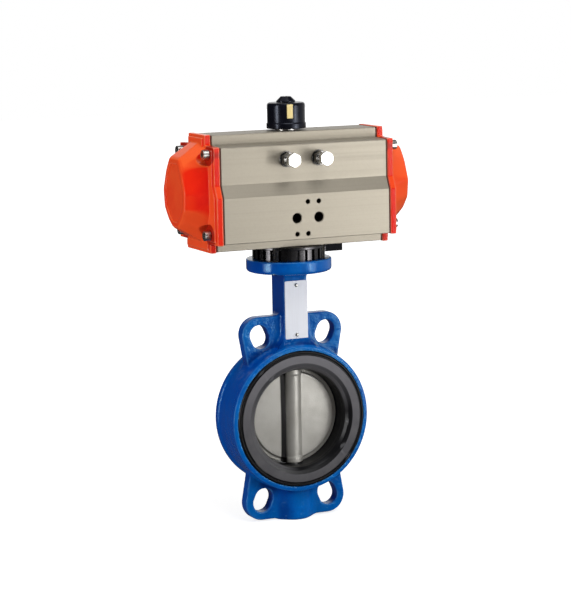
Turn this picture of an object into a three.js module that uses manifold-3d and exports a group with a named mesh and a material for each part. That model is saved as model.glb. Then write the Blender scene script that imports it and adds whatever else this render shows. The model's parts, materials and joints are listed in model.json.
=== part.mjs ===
import * as THREE from 'three';
import { mergeVertices } from 'three/addons/utils/BufferGeometryUtils.js';
import Module from 'manifold-3d';

// A rack and pinion quarter-turn air actuator mounted on a wafer butterfly valve.
// Millimetres, +Z up. The origin is the centre of the valve's bore, X runs along
// the actuator and -Y is the front. The disc stands closed, the pistons together.

// Fits: the gap between separate pieces, and how far a cut passes its face
const clearance = 0.3;
const overrun = 1;

// Facet counts of round forms
const ringSteps = 48;
const barrelSteps = 36;
const bossSteps = 24;
const shaftSteps = 14;
const screwSteps = 8;
const cornerSteps = 3;

// Valve bore and body ring
const boreRadius = 50;
const seatWall = 12;
const ringWall = 13;
const ringHalfWidth = 24.3;
const rimWidth = 6.5;
const rimHeight = 1.6;
const rimBevel = 1.2;

// Rubber seat
const lipInset = 5;
const lipThickness = 5;
const lipProud = 1.7;
const lipRounding = 1.2;
const flareWidth = 4.5;
const flareDepth = 9;
const sealGrooveInset = 2.2;
const sealGrooveWidth = 2;
const sealGrooveDepth = 1.2;

// Disc and its hub
const discCentreThickness = 12.4;
const discRimThickness = 8.4;
const discRimRadius = 1.8;
const hubRadius = 10.6;
const pinRadius = 2.4;
const pinInset = 17;
const pinEndWall = 3;

// Stems, bushings and stem seal
const stemRadius = 7;
const stemReach = 32;
const bushingWall = 1.7;
const bushingLength = 20;
const stemSealLength = 6;
const squareAcross = 11;
const squareLength = 22;
const footBoreEnd = 6;

// Neck between the ring and the mounting flange
const neckWidth = 26;
const neckDepth = 32;
const neckCorner = 2.5;
const neckFlare = 4;
const neckFlareHeight = 7;
const neckRootFlare = 6;
const neckRootRise = 5;

// Mounting flange of the valve and its bolts
const flangeThickness = 13;
const flangeEdge = 1.2;
const flangeSoftEdge = 4.2;
const flangeBoltCircle = 70;
const flangeRim = 8.6;
const flangeBoltRadius = 4;
const flangeBoltHeadRadius = 6.5;
const flangeBoltHeadHeight = 8;
const flangeBoltEngagement = 11;
const flangeBoltSocketAcross = 6;
const flangeBoltSocketDepth = 4;

// Fixing lugs round the ring, on the pipe flange's bolt circle
const lugReach = 17.3;
const lugAngleDegrees = 23.2;
const slotWidth = 20;
const slotTravel = 5;
const lugWall = 8.3;
const lugThickness = 13;
const lugRootInset = 35;

// Foot that holds the lower stem
const footRadius = 19;
const footLength = 31.9;
const footEdge = 3;

// Bare tag on the neck
const tagWidth = 25;
const tagHeight = 60;
const tagThickness = 0.8;
const tagRise = 6.5;
const tagHeadroom = 22;
const tagCorner = 1.5;
const rivetRadius = 1.9;
const rivetShankRadius = 1;
const rivetHeight = 1.1;
const rivetTopShare = 0.8;
const rivetEdgeShare = 0.6;
const rivetLength = 5;
const rivetInset = 4.5;

// Notched mounting plate
const plateThickness = 13.9;
const plateDeckRim = 3.3;
const plateDeckThickness = 2.9;
const plateSleeveRim = 2;
const plateHoleRadius = 14.5;
const notchCount = 26;
const notchDepth = 3;
const notchShare = 0.45;
const tabLength = 19;
const tabWidth = 17;
const tabThickness = 9.8;

// Actuator body, an extruded profile round its cylinder
const cylinderRadius = 40;
const cylinderWall = 17.65;
const bodyLength = 180.5;
const baseRailWidth = 59.8;
const baseRailHeight = 9.3;
const lowerPanelWall = 9.3;
const upperPanelWall = 3.55;
const bandDrop = 2.95;
const bandRise = 9.55;
const shoulderDrop = 1;
const topRailWidth = 41;
const topRailHeight = 10;
const railGrooveWidth = 1.4;
const railGrooveDepth = 1;

// Air ports and solenoid valve pad on the front
const portSpacing = 24;
const portHeight = 30.95;
const portRadius = 5;
const portDepth = 9;
const airwayRadius = 2.5;
const airwayDrop = 9.4;
const airwayInset = 7.3;
const padHoleSpacing = 32;
const padHoleRadius = 2.4;
const padHoleDepth = 8;

// Accessory holes on top
const topHoleSpacingX = 80;
const topHoleSpacingY = 30;
const topHoleRadius = 2.2;
const topHoleDepth = 8;

// Travel stops: screws, lock nuts, washers and the cam that they meet
const stopScrewRadius = 4;
const stopScrewDrop = 25.3;
const openStopPlace = -20.3;
const closedStopPlace = 15;
const stopScrewProud = 20.5;
const stopHeadAcross = 13;
const stopHeadHeight = 5.3;
const stopNutAcross = 13;
const stopNutHeight = 6.5;
const stopWasherRadius = 8;
const stopWasherThickness = 1.6;
const nutBevel = 1;
const camHeight = 8;
const camRadius = 11.5;
const camArmWidth = 14.5;
const camLobeWidth = 20;
const camPocketGap = 0.7;
const keyWidth = 4;
const keyHeight = 1.5;

// Pinion, its bearings and its top fixings
const gearModule = 2;
const gearTeeth = 14;
const gearWidth = 34;
const gearAddendum = 1.6;
const gearDedendum = 2.2;
const gearBacklash = 0.6;
const pressureAngleDegrees = 20;
const flankSteps = 4;
const pinionFootRadius = 13;
const pinionShaftRadius = 8.5;
const pinionProud = 8;
const bearingWall = 2.3;
const topBearingWall = 2.7;
const washerRadius = 14;
const washerThickness = 1.5;
const circlipRadius = 11.3;
const circlipThickness = 1.2;
const circlipGrooveDepth = 0.7;
const circlipGap = 5;

// Pistons with their racks, rings and guide pads
const pistonHeadLength = 18;
const pistonHeadPlace = 36;
const rackEnd = 31;
const rackHeight = 30;
const rackTeeth = 7;
const firstRackTooth = -2;
const ringGrooveDepth = 3;
const ringGrooveWidth = 4.6;
const ringGrooveInset = 6;
const guideLength = 26;
const guideHeight = 16;
const guideThickness = 3;
const guideInset = 4;

// End caps, gaskets and screws
const gasketThickness = 1.2;
const capProud = 0.8;
const capFlangeThickness = 8;
const capDepth = 32;
const domeInset = 5.5;
const domeMargin = 7.15;
const domeTaper = 5;
const domeRise = 15;
// Corners of one side from the bottom up, as shares of the half width and the rise
const domeBaseShares = [[0.46, -0.94], [0.87, -0.71], [1, -0.35], [1, 0.51], [0.75, 0.83], [0.29, 1]];
const domeEndShares = [[0.47, -1], [0.81, -0.79], [1, -0.45], [1, 0.73], [0.68, 0.85], [0.27, 1]];
const domeEdge = 4;
const domeFaceDepth = 1.2;
const domeFaceInset = 4.5;
const cavityInset = 8;
const cavityTaper = 8;
const cavityDepth = 24;
const capScrewOffset = 12.17;
const capScrewAngleDegrees = 50;
const capScrewRadius = 3;
const capScrewHeadRadius = 5;
const capScrewHeadHeight = 6;
const capScrewLength = 20;
const capScrewSocketAcross = 5;
const capScrewSocketDepth = 3;
const capPocketRadius = 11;
const gasketStep = 2;
const capAirSlotWidth = 5;
const capAirSlotDepth = 3;

// Position indicator
const indicatorRadius = 20;
const indicatorSkirt = 5.5;
const indicatorTaper = 0.8;
const indicatorHeight = 26;
const indicatorEdge = 2.4;
const indicatorGap = 2.1;
const indicatorCavityRadius = 16.5;
const indicatorCavityHeight = 5;
const insertWidth = 6;
const insertHeight = 14;
const insertThickness = 2;
const insertTop = 24.8;
const insertAngleDegrees = -12;
const knobRadius = 9.7;
const knobHeight = 5.7;
const knobRim = 1.4;
const knobTopRadius = 4.6;
const knobShankRadius = 2.5;
const knobShankLength = 22;
const slotBladeWidth = 1.6;
const slotBladeDepth = 2.2;

// Radii, heights and places worked out from the sizes above
const ringInnerRadius = boreRadius + seatWall;
const ringRadius = ringInnerRadius + ringWall;
const lipRadius = ringRadius - lipInset;
const flareRadius = boreRadius + flareWidth;
const sealGrooveRadius = lipRadius - sealGrooveInset;
const stemEndHeight = boreRadius - stemReach;
const pinHeight = boreRadius - pinInset;
const neckRootHeight = ringRadius + neckRootRise;
const tagBottom = ringRadius + tagRise;
const flangeTop = tagBottom + tagHeight + tagHeadroom;
const footReach = ringRadius + footLength;
const flangeRadius = flangeBoltCircle / 2 + flangeRim;
const plateDeckRadius = flangeBoltCircle / 2 + plateDeckRim;
const plateSleeveRadius = flangeBoltCircle / 2 + plateSleeveRim;
const tabReach = plateDeckRadius + tabLength;
const lugCircleRadius = ringRadius + lugReach;
const lugRootRadius = ringRadius - lugRootInset;
const lipFace = ringHalfWidth + lipProud;
const lipBack = lipFace - lipThickness;
const bushingRadius = stemRadius + clearance + bushingWall;
const stemBoreRadius = bushingRadius + clearance;
const flangeUnderside = flangeTop - flangeThickness;
const actuatorBase = flangeTop + plateThickness + 2 * clearance;
const discRadius = boreRadius - clearance;
const hubFlatHeight = Math.sqrt(discRadius ** 2 - hubRadius ** 2) - clearance / 2;
const pitchRadius = gearModule * gearTeeth / 2;
const toothPitch = Math.PI * gearModule;
const cylinderHeight = cylinderRadius + cylinderWall;
const bodyHeight = 2 * cylinderHeight;
const shoulderHeight = bodyHeight - topRailHeight;
const lowerPanelWidth = 2 * (cylinderRadius + lowerPanelWall);
const upperPanelWidth = 2 * (cylinderRadius + upperPanelWall);
const lowerPanelTop = cylinderHeight - bandDrop;
const upperPanelBottom = cylinderHeight + bandRise;
const upperPanelTop = shoulderHeight - shoulderDrop;
const stopScrewHeight = bodyHeight - stopScrewDrop;
const camBottom = stopScrewHeight - camHeight / 2;
const camArmReach = stopScrewRadius - openStopPlace + overrun;
const camPocketRadius = Math.hypot(camArmReach, camRadius) + camPocketGap;
const topBearingRadius = pinionShaftRadius + clearance + topBearingWall;
const baseBearingRadius = pinionFootRadius + clearance + bearingWall;
const washerSeat = bodyHeight - washerThickness - clearance;
const circlipHeight = bodyHeight + clearance;
const pistonRadius = cylinderRadius - 2 * clearance;
const capFace = bodyLength / 2 + gasketThickness + 2 * clearance;
const gasketInnerRadius = cylinderRadius + gasketStep;
const cavityMouthRadius = cylinderRadius - cavityInset;
const cavityEndRadius = cavityMouthRadius - cavityTaper;
const domeBaseHalfWidth = cylinderRadius - domeInset;
const domeBaseRise = cylinderHeight - domeMargin;
const domeEndHalfWidth = domeBaseHalfWidth - domeTaper;
const domeEndRise = domeBaseRise - domeRise;

const degrees = Math.PI / 180;
const wasm = await Module();
wasm.setup();

// A closed geometry becomes a solid: shared corners merged, flat slivers left out
function toSolid(geometry) {
  const bare = geometry.clone();
  bare.deleteAttribute('normal');
  bare.deleteAttribute('uv');
  const merged = mergeVertices(bare);
  const corners = merged.index.array;
  const triangles = [];
  for (let i = 0; i < corners.length; i += 3) {
    const [a, b, c] = [corners[i], corners[i + 1], corners[i + 2]];
    if (a !== b && b !== c && c !== a) {
      triangles.push(a, b, c);
    }
  }
  return new wasm.Manifold(new wasm.Mesh({
    numProp: 3,
    vertProperties: merged.attributes.position.array,
    triVerts: new Uint32Array(triangles),
  }));
}

function toGeometry(solid) {
  const mesh = solid.getMesh();
  const geometry = new THREE.BufferGeometry();
  geometry.setAttribute('position', new THREE.BufferAttribute(mesh.vertProperties, 3));
  geometry.setIndex(new THREE.BufferAttribute(mesh.triVerts, 1));
  return geometry;
}

function join(...geometries) {
  return toGeometry(geometries.map(toSolid).reduce((whole, piece) => whole.add(piece)));
}

function cut(geometry, ...tools) {
  return toGeometry(tools.map(toSolid).reduce((whole, tool) => whole.subtract(tool), toSolid(geometry)));
}

function common(...geometries) {
  return toGeometry(geometries.map(toSolid).reduce((whole, piece) => whole.intersect(piece)));
}

// Outlines are lists of [x, y] corners that run counterclockwise
function circle(x, y, radius, steps) {
  const points = [];
  for (let i = 0; i < steps; i++) {
    const angle = 2 * Math.PI * i / steps;
    points.push([x + radius * Math.cos(angle), y + radius * Math.sin(angle)]);
  }
  return points;
}

function hexagon(across) {
  return circle(0, 0, across / Math.sqrt(3), 6);
}

function roundedRectangle(width, height, corner) {
  const points = [];
  for (let quarter = 0; quarter < 4; quarter++) {
    const sideX = quarter === 0 || quarter === 3 ? 1 : -1;
    const sideY = quarter < 2 ? 1 : -1;
    for (let i = 0; i <= cornerSteps; i++) {
      const angle = (quarter + i / cornerSteps) * Math.PI / 2;
      points.push([
        sideX * (width / 2 - corner) + corner * Math.cos(angle),
        sideY * (height / 2 - corner) + corner * Math.sin(angle),
      ]);
    }
  }
  return points;
}

// The band that would be stretched round a set of points
function stretchedRound(points) {
  const sorted = [...points].sort((p, q) => p[0] - q[0] || p[1] - q[1]);
  const turn = (a, b, c) => (b[0] - a[0]) * (c[1] - a[1]) - (b[1] - a[1]) * (c[0] - a[0]);
  const chain = (list) => {
    const kept = [];
    for (const point of list) {
      while (kept.length > 1 && turn(kept[kept.length - 2], kept[kept.length - 1], point) <= 0) {
        kept.pop();
      }
      kept.push(point);
    }
    return kept.slice(0, -1);
  };
  return [...chain(sorted), ...chain(sorted.reverse())];
}

// Solids stand on the XY plane and rise along Z from low to high
function prism(outline, low, high) {
  const shape = new THREE.Shape(outline.map(([x, y]) => new THREE.Vector2(x, y)));
  const geometry = new THREE.ExtrudeGeometry(shape, { depth: high - low, bevelEnabled: false });
  return geometry.translate(0, 0, low);
}

function cone(lowRadius, highRadius, low, high, steps) {
  const geometry = new THREE.CylinderGeometry(highRadius, lowRadius, high - low, steps);
  return geometry.rotateX(Math.PI / 2).translate(0, 0, (low + high) / 2);
}

function cylinder(radius, low, high, steps) {
  return cone(radius, radius, low, high, steps);
}

function block(low, high) {
  const size = high.map((value, i) => value - low[i]);
  const middle = high.map((value, i) => (value + low[i]) / 2);
  return new THREE.BoxGeometry(...size).translate(...middle);
}

// A profile of [radius, height] points, counterclockwise, turned round Z
function revolve(profile, steps) {
  const points = profile.map(([radius, height]) => new THREE.Vector2(radius, height));
  if (profile[0][0] > 0) {
    points.push(points[0].clone());
  }
  return new THREE.LatheGeometry(points, steps).rotateX(Math.PI / 2);
}

// Outlines with equally many corners, each at its height, skinned from low to high
function loft(sections) {
  const positions = [];
  const indices = [];
  const count = sections[0].outline.length;
  for (const { outline, height } of sections) {
    outline.forEach(([x, y]) => positions.push(x, y, height));
  }
  for (let layer = 0; layer < sections.length - 1; layer++) {
    for (let i = 0; i < count; i++) {
      const a = layer * count + i;
      const b = layer * count + (i + 1) % count;
      indices.push(a, b, b + count, a, b + count, a + count);
    }
  }
  const last = (sections.length - 1) * count;
  const ends = sections.map(({ outline }) => outline.map(([x, y]) => new THREE.Vector2(x, y)));
  for (const [a, b, c] of THREE.ShapeUtils.triangulateShape(ends[0], [])) {
    indices.push(c, b, a);
  }
  for (const [a, b, c] of THREE.ShapeUtils.triangulateShape(ends[ends.length - 1], [])) {
    indices.push(last + a, last + b, last + c);
  }
  const geometry = new THREE.BufferGeometry();
  geometry.setAttribute('position', new THREE.Float32BufferAttribute(positions, 3));
  geometry.setIndex(indices);
  return geometry;
}

// Turns a solid so that what rose along Z runs along X, with its x and y as Y and Z
const alongX = new THREE.Matrix4().makeBasis(
  new THREE.Vector3(0, 1, 0),
  new THREE.Vector3(0, 0, 1),
  new THREE.Vector3(1, 0, 0),
);

function turnToX(geometry) {
  return geometry.applyMatrix4(alongX);
}

// Turns a solid so that what rose along Z runs to the front, with its y as Z
function turnToFront(geometry) {
  return geometry.rotateX(Math.PI / 2);
}

function mirrored(values) {
  return [...values, ...values.map((value) => -value)];
}

function ringWithRims() {
  const half = [
    [ringInnerRadius, lipBack - clearance],
    [lipRadius + clearance, lipBack - clearance],
    [lipRadius + clearance, ringHalfWidth],
    [ringRadius - rimBevel, ringHalfWidth],
    [ringRadius, ringHalfWidth - rimBevel],
    [ringRadius, ringHalfWidth - rimWidth],
    [ringRadius - rimHeight, ringHalfWidth - rimWidth - rimHeight],
  ];
  const lower = half.map(([radius, height]) => [radius, -height]);
  return turnToFront(revolve([...lower, ...half.reverse()], ringSteps));
}

function lugSlot(x, z, radius, steps) {
  const outward = Math.atan2(z, x);
  const offsetX = Math.cos(outward) * slotTravel / 2;
  const offsetZ = Math.sin(outward) * slotTravel / 2;
  return [
    ...circle(x - offsetX, z - offsetZ, radius, steps),
    ...circle(x + offsetX, z + offsetZ, radius, steps),
  ];
}

const lugX = Math.sin(lugAngleDegrees * degrees) * lugCircleRadius;
const lugZ = Math.cos(lugAngleDegrees * degrees) * lugCircleRadius;

// One plate holds a pair of lugs and runs in to the ring
function lugPlate(side) {
  const outline = stretchedRound([
    ...lugSlot(lugX, side * lugZ, slotWidth / 2 + lugWall, bossSteps),
    ...lugSlot(-lugX, side * lugZ, slotWidth / 2 + lugWall, bossSteps),
    ...circle(0, 0, lugRootRadius, bossSteps),
  ]);
  return turnToFront(prism(outline, -lugThickness / 2, lugThickness / 2));
}

function neck() {
  const section = (grow, height) => ({
    outline: roundedRectangle(neckWidth + 2 * grow, neckDepth + 2 * grow, neckCorner + grow),
    height,
  });
  return loft([
    section(neckRootFlare, ringInnerRadius + overrun),
    section(0, neckRootHeight),
    section(0, flangeUnderside - neckFlareHeight),
    section(neckFlare / 3, flangeUnderside - neckFlareHeight / 3),
    section(neckFlare, flangeUnderside + overrun),
  ]);
}

function valveFlange() {
  return revolve([
    [0, flangeUnderside],
    [flangeRadius - flangeSoftEdge, flangeUnderside],
    [flangeRadius - flangeSoftEdge / 3, flangeUnderside + flangeSoftEdge / 3],
    [flangeRadius, flangeUnderside + flangeSoftEdge],
    [flangeRadius, flangeTop - flangeEdge],
    [flangeRadius - flangeEdge, flangeTop],
    [0, flangeTop],
  ], barrelSteps);
}

const boltPlace = flangeBoltCircle / 2 * Math.SQRT1_2;
const boltPlaces = [[1, 1], [-1, 1], [-1, -1], [1, -1]].map(([sideX, sideY]) => (
  [sideX * boltPlace, sideY * boltPlace]
));

function valveBody() {
  const foot = revolve([
    [0, -footReach],
    [footRadius - footEdge, -footReach],
    [footRadius, -footReach + footEdge],
    [footRadius, -ringInnerRadius - overrun],
    [0, -ringInnerRadius - overrun],
  ], bossSteps);
  const blank = join(ringWithRims(), lugPlate(1), lugPlate(-1), neck(), valveFlange(), foot);
  const slots = mirrored([lugZ]).flatMap((z) => mirrored([lugX]).map((x) => {
    const outline = stretchedRound(lugSlot(x, z, slotWidth / 2, shaftSteps));
    return turnToFront(prism(outline, -lugThickness, lugThickness));
  }));
  const bolts = boltPlaces.flatMap(([x, y]) => [
    cylinder(flangeBoltRadius + clearance, flangeUnderside - overrun, flangeTop + overrun, screwSteps)
      .translate(x, y, 0),
    cylinder(
      flangeBoltHeadRadius + clearance,
      flangeUnderside - neckFlareHeight,
      flangeUnderside + flangeBoltHeadHeight + clearance,
      shaftSteps,
    ).translate(x, y, 0),
  ]);
  const rivets = tagRivetHeights.map((height) => (
    turnToFront(cylinder(
      rivetShankRadius + clearance,
      neckDepth / 2 - rivetLength,
      neckDepth / 2 + overrun,
      screwSteps,
    )).translate(0, 0, height)
  ));
  return cut(
    blank,
    turnToFront(cylinder(ringInnerRadius, -lipBack, lipBack, ringSteps)),
    turnToFront(cylinder(lipRadius + clearance, lipBack - clearance, lipFace, ringSteps)),
    turnToFront(cylinder(lipRadius + clearance, -lipFace, clearance - lipBack, ringSteps)),
    cylinder(stemBoreRadius, 0, flangeTop + overrun, shaftSteps),
    cylinder(stemBoreRadius, -footReach + footBoreEnd, 0, shaftSteps),
    ...slots,
    ...bolts,
    ...rivets,
  );
}

// The seat lines the ring and folds over both of its faces
function valveSeat() {
  const grooveInner = sealGrooveRadius - sealGrooveWidth / 2;
  const grooveOuter = sealGrooveRadius + sealGrooveWidth / 2;
  const half = [
    [boreRadius, lipFace - flareDepth],
    [boreRadius + (flareRadius - boreRadius) / 4, lipFace - flareDepth / 2],
    [flareRadius - lipRounding / 3, lipFace - lipRounding],
    [flareRadius + lipRounding, lipFace],
    [grooveInner, lipFace],
    [grooveInner, lipFace - sealGrooveDepth],
    [grooveOuter, lipFace - sealGrooveDepth],
    [lipRadius, lipFace - sealGrooveDepth - lipRounding],
    [lipRadius, lipBack],
    [ringInnerRadius - clearance, lipBack],
  ];
  const lower = half.map(([radius, height]) => [radius, -height]);
  return cut(
    turnToFront(revolve([...lower, ...half.reverse()], ringSteps)),
    cylinder(stemRadius + clearance, -ringRadius, ringRadius, shaftSteps),
  );
}

// The disc swings inside a sphere, so its hub ends in flats and its rim is crowned
function disc() {
  const centre = discCentreThickness / 2;
  const rim = discRimThickness / 2;
  const plate = turnToFront(revolve([
    [0, -centre],
    [hubRadius, -centre],
    [discRadius - discRimRadius, -rim],
    [discRadius - discRimRadius / 8, discRimRadius - rim],
    [discRadius - discRimRadius / 8, rim - discRimRadius],
    [discRadius - discRimRadius, rim],
    [hubRadius, centre],
    [0, centre],
  ], ringSteps));
  const hub = cylinder(hubRadius, -hubFlatHeight, hubFlatHeight, bossSteps);
  const stemHoles = [
    cylinder(stemRadius + clearance, stemEndHeight, ringRadius, shaftSteps),
    cylinder(stemRadius + clearance, -ringRadius, -stemEndHeight, shaftSteps),
  ];
  return cut(join(plate, hub), ...stemHoles, ...mirrored([pinHeight]).map(pinHole));
}

function pinHole(height) {
  const depth = hubRadius - pinEndWall;
  return turnToFront(cylinder(pinRadius + clearance, -ringRadius, depth, screwSteps))
    .translate(0, 0, height);
}

function discPin(height) {
  const end = hubRadius - pinEndWall - clearance;
  return turnToFront(cylinder(pinRadius, clearance - hubRadius, end, screwSteps)).translate(0, 0, height);
}

const stemTop = actuatorBase + squareLength;

function upperStem() {
  const round = cylinder(stemRadius, stemEndHeight + clearance, actuatorBase, shaftSteps);
  const square = common(
    cylinder(stemRadius, actuatorBase - overrun, stemTop, shaftSteps),
    block(
      [-squareAcross / 2, -squareAcross / 2, actuatorBase - 2 * overrun],
      [squareAcross / 2, squareAcross / 2, stemTop + overrun],
    ),
  );
  return cut(join(round, square), pinHole(pinHeight));
}

function lowerStem() {
  const bottom = -footReach + footBoreEnd + clearance;
  return cut(cylinder(stemRadius, bottom, -stemEndHeight - clearance, shaftSteps), pinHole(-pinHeight));
}

function sleeve(innerRadius, outerRadius, low, high, steps = shaftSteps) {
  return revolve([
    [innerRadius, low],
    [outerRadius, low],
    [outerRadius, high],
    [innerRadius, high],
  ], steps);
}

function stemBushing(low) {
  return sleeve(stemRadius + clearance, bushingRadius, low, low + bushingLength);
}

const tagRivetHeights = [tagBottom + rivetInset, tagBottom + tagHeight - rivetInset];

function tagPlate() {
  const blank = prism(
    roundedRectangle(tagWidth, tagHeight, tagCorner),
    neckDepth / 2 + clearance,
    neckDepth / 2 + clearance + tagThickness,
  );
  const plate = turnToFront(blank).translate(0, 0, tagBottom + tagHeight / 2);
  const holes = tagRivetHeights.map((height) => (
    turnToFront(cylinder(rivetShankRadius + clearance, 0, neckDepth, screwSteps)).translate(0, 0, height)
  ));
  return cut(plate, ...holes);
}

function tagRivet(height) {
  const seat = neckDepth / 2 + tagThickness + 2 * clearance;
  const geometry = revolve([
    [0, neckDepth / 2 - rivetLength + clearance],
    [rivetShankRadius, neckDepth / 2 - rivetLength + clearance],
    [rivetShankRadius, seat],
    [rivetRadius, seat],
    [rivetRadius * rivetTopShare, seat + rivetHeight * rivetEdgeShare],
    [0, seat + rivetHeight],
  ], screwSteps);
  return turnToFront(geometry).translate(0, 0, height);
}

// Notches run up the sleeve below a round deck, and a tab points along +X
function notchedPlate() {
  const outline = [];
  for (let i = 0; i < notchCount; i++) {
    const start = 2 * Math.PI * i / notchCount;
    const toothEnd = start + 2 * Math.PI * (1 - notchShare) / notchCount;
    const next = start + 2 * Math.PI / notchCount;
    for (const [radius, angle] of [
      [plateSleeveRadius, start],
      [plateSleeveRadius, toothEnd],
      [plateSleeveRadius - notchDepth, toothEnd],
      [plateSleeveRadius - notchDepth, next],
    ]) {
      outline.push([radius * Math.cos(angle), radius * Math.sin(angle)]);
    }
  }
  const deckBottom = plateThickness - plateDeckThickness;
  const tab = block(
    [plateSleeveRadius - 2 * notchDepth, -tabWidth / 2, plateThickness - tabThickness],
    [tabReach, tabWidth / 2, plateThickness],
  );
  const holes = boltPlaces.map(([x, y]) => (
    cylinder(flangeBoltRadius + clearance, -overrun, plateThickness + overrun, screwSteps).translate(x, y, 0)
  ));
  return cut(
    join(
      prism(outline, 0, deckBottom + overrun),
      cylinder(plateDeckRadius, deckBottom, plateThickness, barrelSteps),
      tab,
    ),
    cylinder(plateHoleRadius, -overrun, plateThickness + overrun, bossSteps),
    ...holes,
  );
}

// A round head, its shank below it and a hexagon socket in its top
function socketScrew(headRadius, headHeight, shankRadius, shankLength, socketAcross, socketDepth) {
  const edge = headHeight / 8;
  const blank = revolve([
    [0, -shankLength],
    [shankRadius, -shankLength],
    [shankRadius, 0],
    [headRadius, 0],
    [headRadius, headHeight - edge],
    [headRadius - edge, headHeight],
    [0, headHeight],
  ], screwSteps);
  return cut(blank, prism(hexagon(socketAcross), headHeight - socketDepth, headHeight + overrun));
}

function flangeBolt() {
  const top = actuatorBase + flangeBoltEngagement;
  const headSeat = flangeUnderside + flangeBoltHeadHeight;
  return socketScrew(
    flangeBoltHeadRadius,
    flangeBoltHeadHeight,
    flangeBoltRadius,
    top - headSeat,
    flangeBoltSocketAcross,
    flangeBoltSocketDepth,
  ).rotateX(Math.PI).translate(0, 0, headSeat);
}

// The body's outline across its length, grown on every side
function bodyOutline(grow) {
  const side = [
    [baseRailWidth / 2 + grow, -grow],
    [baseRailWidth / 2 + grow, baseRailHeight - grow],
    [lowerPanelWidth / 2 + grow, baseRailHeight - grow],
    [lowerPanelWidth / 2 + grow, lowerPanelTop],
    [upperPanelWidth / 2 + grow, upperPanelBottom],
    [upperPanelWidth / 2 + grow, upperPanelTop + grow],
    [topRailWidth / 2 + grow, shoulderHeight + grow],
    [topRailWidth / 2 + grow, bodyHeight + grow],
  ];
  return [...side, ...side.map(([y, z]) => [-y, z]).reverse()];
}

function frontHole(x, z, radius, low, high, steps) {
  return turnToFront(cylinder(radius, low, high, steps)).translate(x, 0, z);
}

const capScrewCircleRadius = cylinderRadius + capScrewOffset;
const capScrewY = Math.cos(capScrewAngleDegrees * degrees) * capScrewCircleRadius;
const capScrewZ = Math.sin(capScrewAngleDegrees * degrees) * capScrewCircleRadius;
const capScrewPlaces = mirrored([capScrewY]).flatMap((y) => (
  mirrored([capScrewZ]).map((z) => [y, z + cylinderHeight])
));
const capScrewDepth = capScrewLength - capFlangeThickness - gasketThickness - 2 * clearance;
const airwayY = lowerPanelWidth / 2 - airwayInset;
const airwayZ = portHeight - airwayDrop;

function portHoles() {
  const front = lowerPanelWidth / 2;
  const left = -portSpacing / 2;
  const right = portSpacing / 2;
  return [
    frontHole(left, portHeight, portRadius, front - portDepth, front + overrun, shaftSteps),
    frontHole(right, portHeight, portRadius, front - portDepth, front + overrun, shaftSteps),
    frontHole(right, portHeight, airwayRadius, cylinderRadius / 2, front, screwSteps),
    cylinder(airwayRadius, airwayZ, portHeight, screwSteps).translate(left, -airwayY, 0),
    turnToX(cylinder(airwayRadius, -bodyLength, bodyLength, screwSteps)).translate(0, -airwayY, airwayZ),
  ];
}

function padHoles() {
  const front = lowerPanelWidth / 2;
  const places = [
    [0, padHoleSpacing / 2],
    [portSpacing / 2, padHoleSpacing / 2],
    [0, -padHoleSpacing / 2],
    [-portSpacing / 2, -padHoleSpacing / 2],
  ];
  return places.map(([x, z]) => (
    frontHole(x, z + portHeight, padHoleRadius, front - padHoleDepth, front + overrun, screwSteps)
  ));
}

function topHoles() {
  return mirrored([topHoleSpacingX / 2]).flatMap((x) => mirrored([topHoleSpacingY / 2]).map((y) => (
    cylinder(topHoleRadius, bodyHeight - topHoleDepth, bodyHeight + overrun, screwSteps).translate(x, y, 0)
  )));
}

function railGrooves() {
  return [1, -1].map((side) => {
    const inner = side * topRailWidth / 2;
    const outer = side * (topRailWidth / 2 + railGrooveWidth);
    return block(
      [-bodyLength, Math.min(inner, outer), shoulderHeight - railGrooveDepth],
      [bodyLength, Math.max(inner, outer), shoulderHeight + overrun],
    );
  });
}

function actuatorBody() {
  const half = bodyLength / 2;
  const boltHoles = boltPlaces.map(([x, y]) => (
    cylinder(flangeBoltRadius + clearance, -overrun, flangeBoltEngagement + clearance, screwSteps)
      .translate(x, y, 0)
  ));
  const capHoles = capScrewPlaces.flatMap(([y, z]) => [
    [half - capScrewDepth - clearance, half + overrun],
    [-half - overrun, capScrewDepth + clearance - half],
  ].map(([low, high]) => (
    turnToX(cylinder(capScrewRadius + clearance, low, high, screwSteps)).translate(0, y, z)
  )));
  const stopHoles = [openStopPlace, closedStopPlace].map((x) => (
    frontHole(x, stopScrewHeight, stopScrewRadius + clearance, camRadius, bodyLength, screwSteps)
  ));
  return cut(
    turnToX(prism(bodyOutline(0), -half, half)),
    turnToX(cylinder(cylinderRadius, -bodyLength, bodyLength, barrelSteps)).translate(0, 0, cylinderHeight),
    cylinder(baseBearingRadius + clearance, -overrun, cylinderHeight, bossSteps),
    cylinder(topBearingRadius + clearance, cylinderHeight, bodyHeight + overrun, bossSteps),
    cylinder(washerRadius + clearance, washerSeat, bodyHeight + overrun, bossSteps),
    cylinder(camPocketRadius, cylinderHeight, camBottom + camHeight + camPocketGap, barrelSteps),
    ...portHoles(),
    ...padHoles(),
    ...topHoles(),
    ...railGrooves(),
    ...boltHoles,
    ...capHoles,
    ...stopHoles,
  );
}

// A cap's dome at one depth: the corners of one side, from the bottom up, and the same mirrored
function domeOutline(cornerShares, halfWidth, rise) {
  const side = cornerShares.map(([across, up]) => [across * halfWidth, up * rise]);
  return [...side, ...side.map(([y, z]) => [-y, z]).reverse()];
}

function shrunkDome(inset) {
  return domeOutline(domeEndShares, domeEndHalfWidth - inset, domeEndRise - inset);
}

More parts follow.
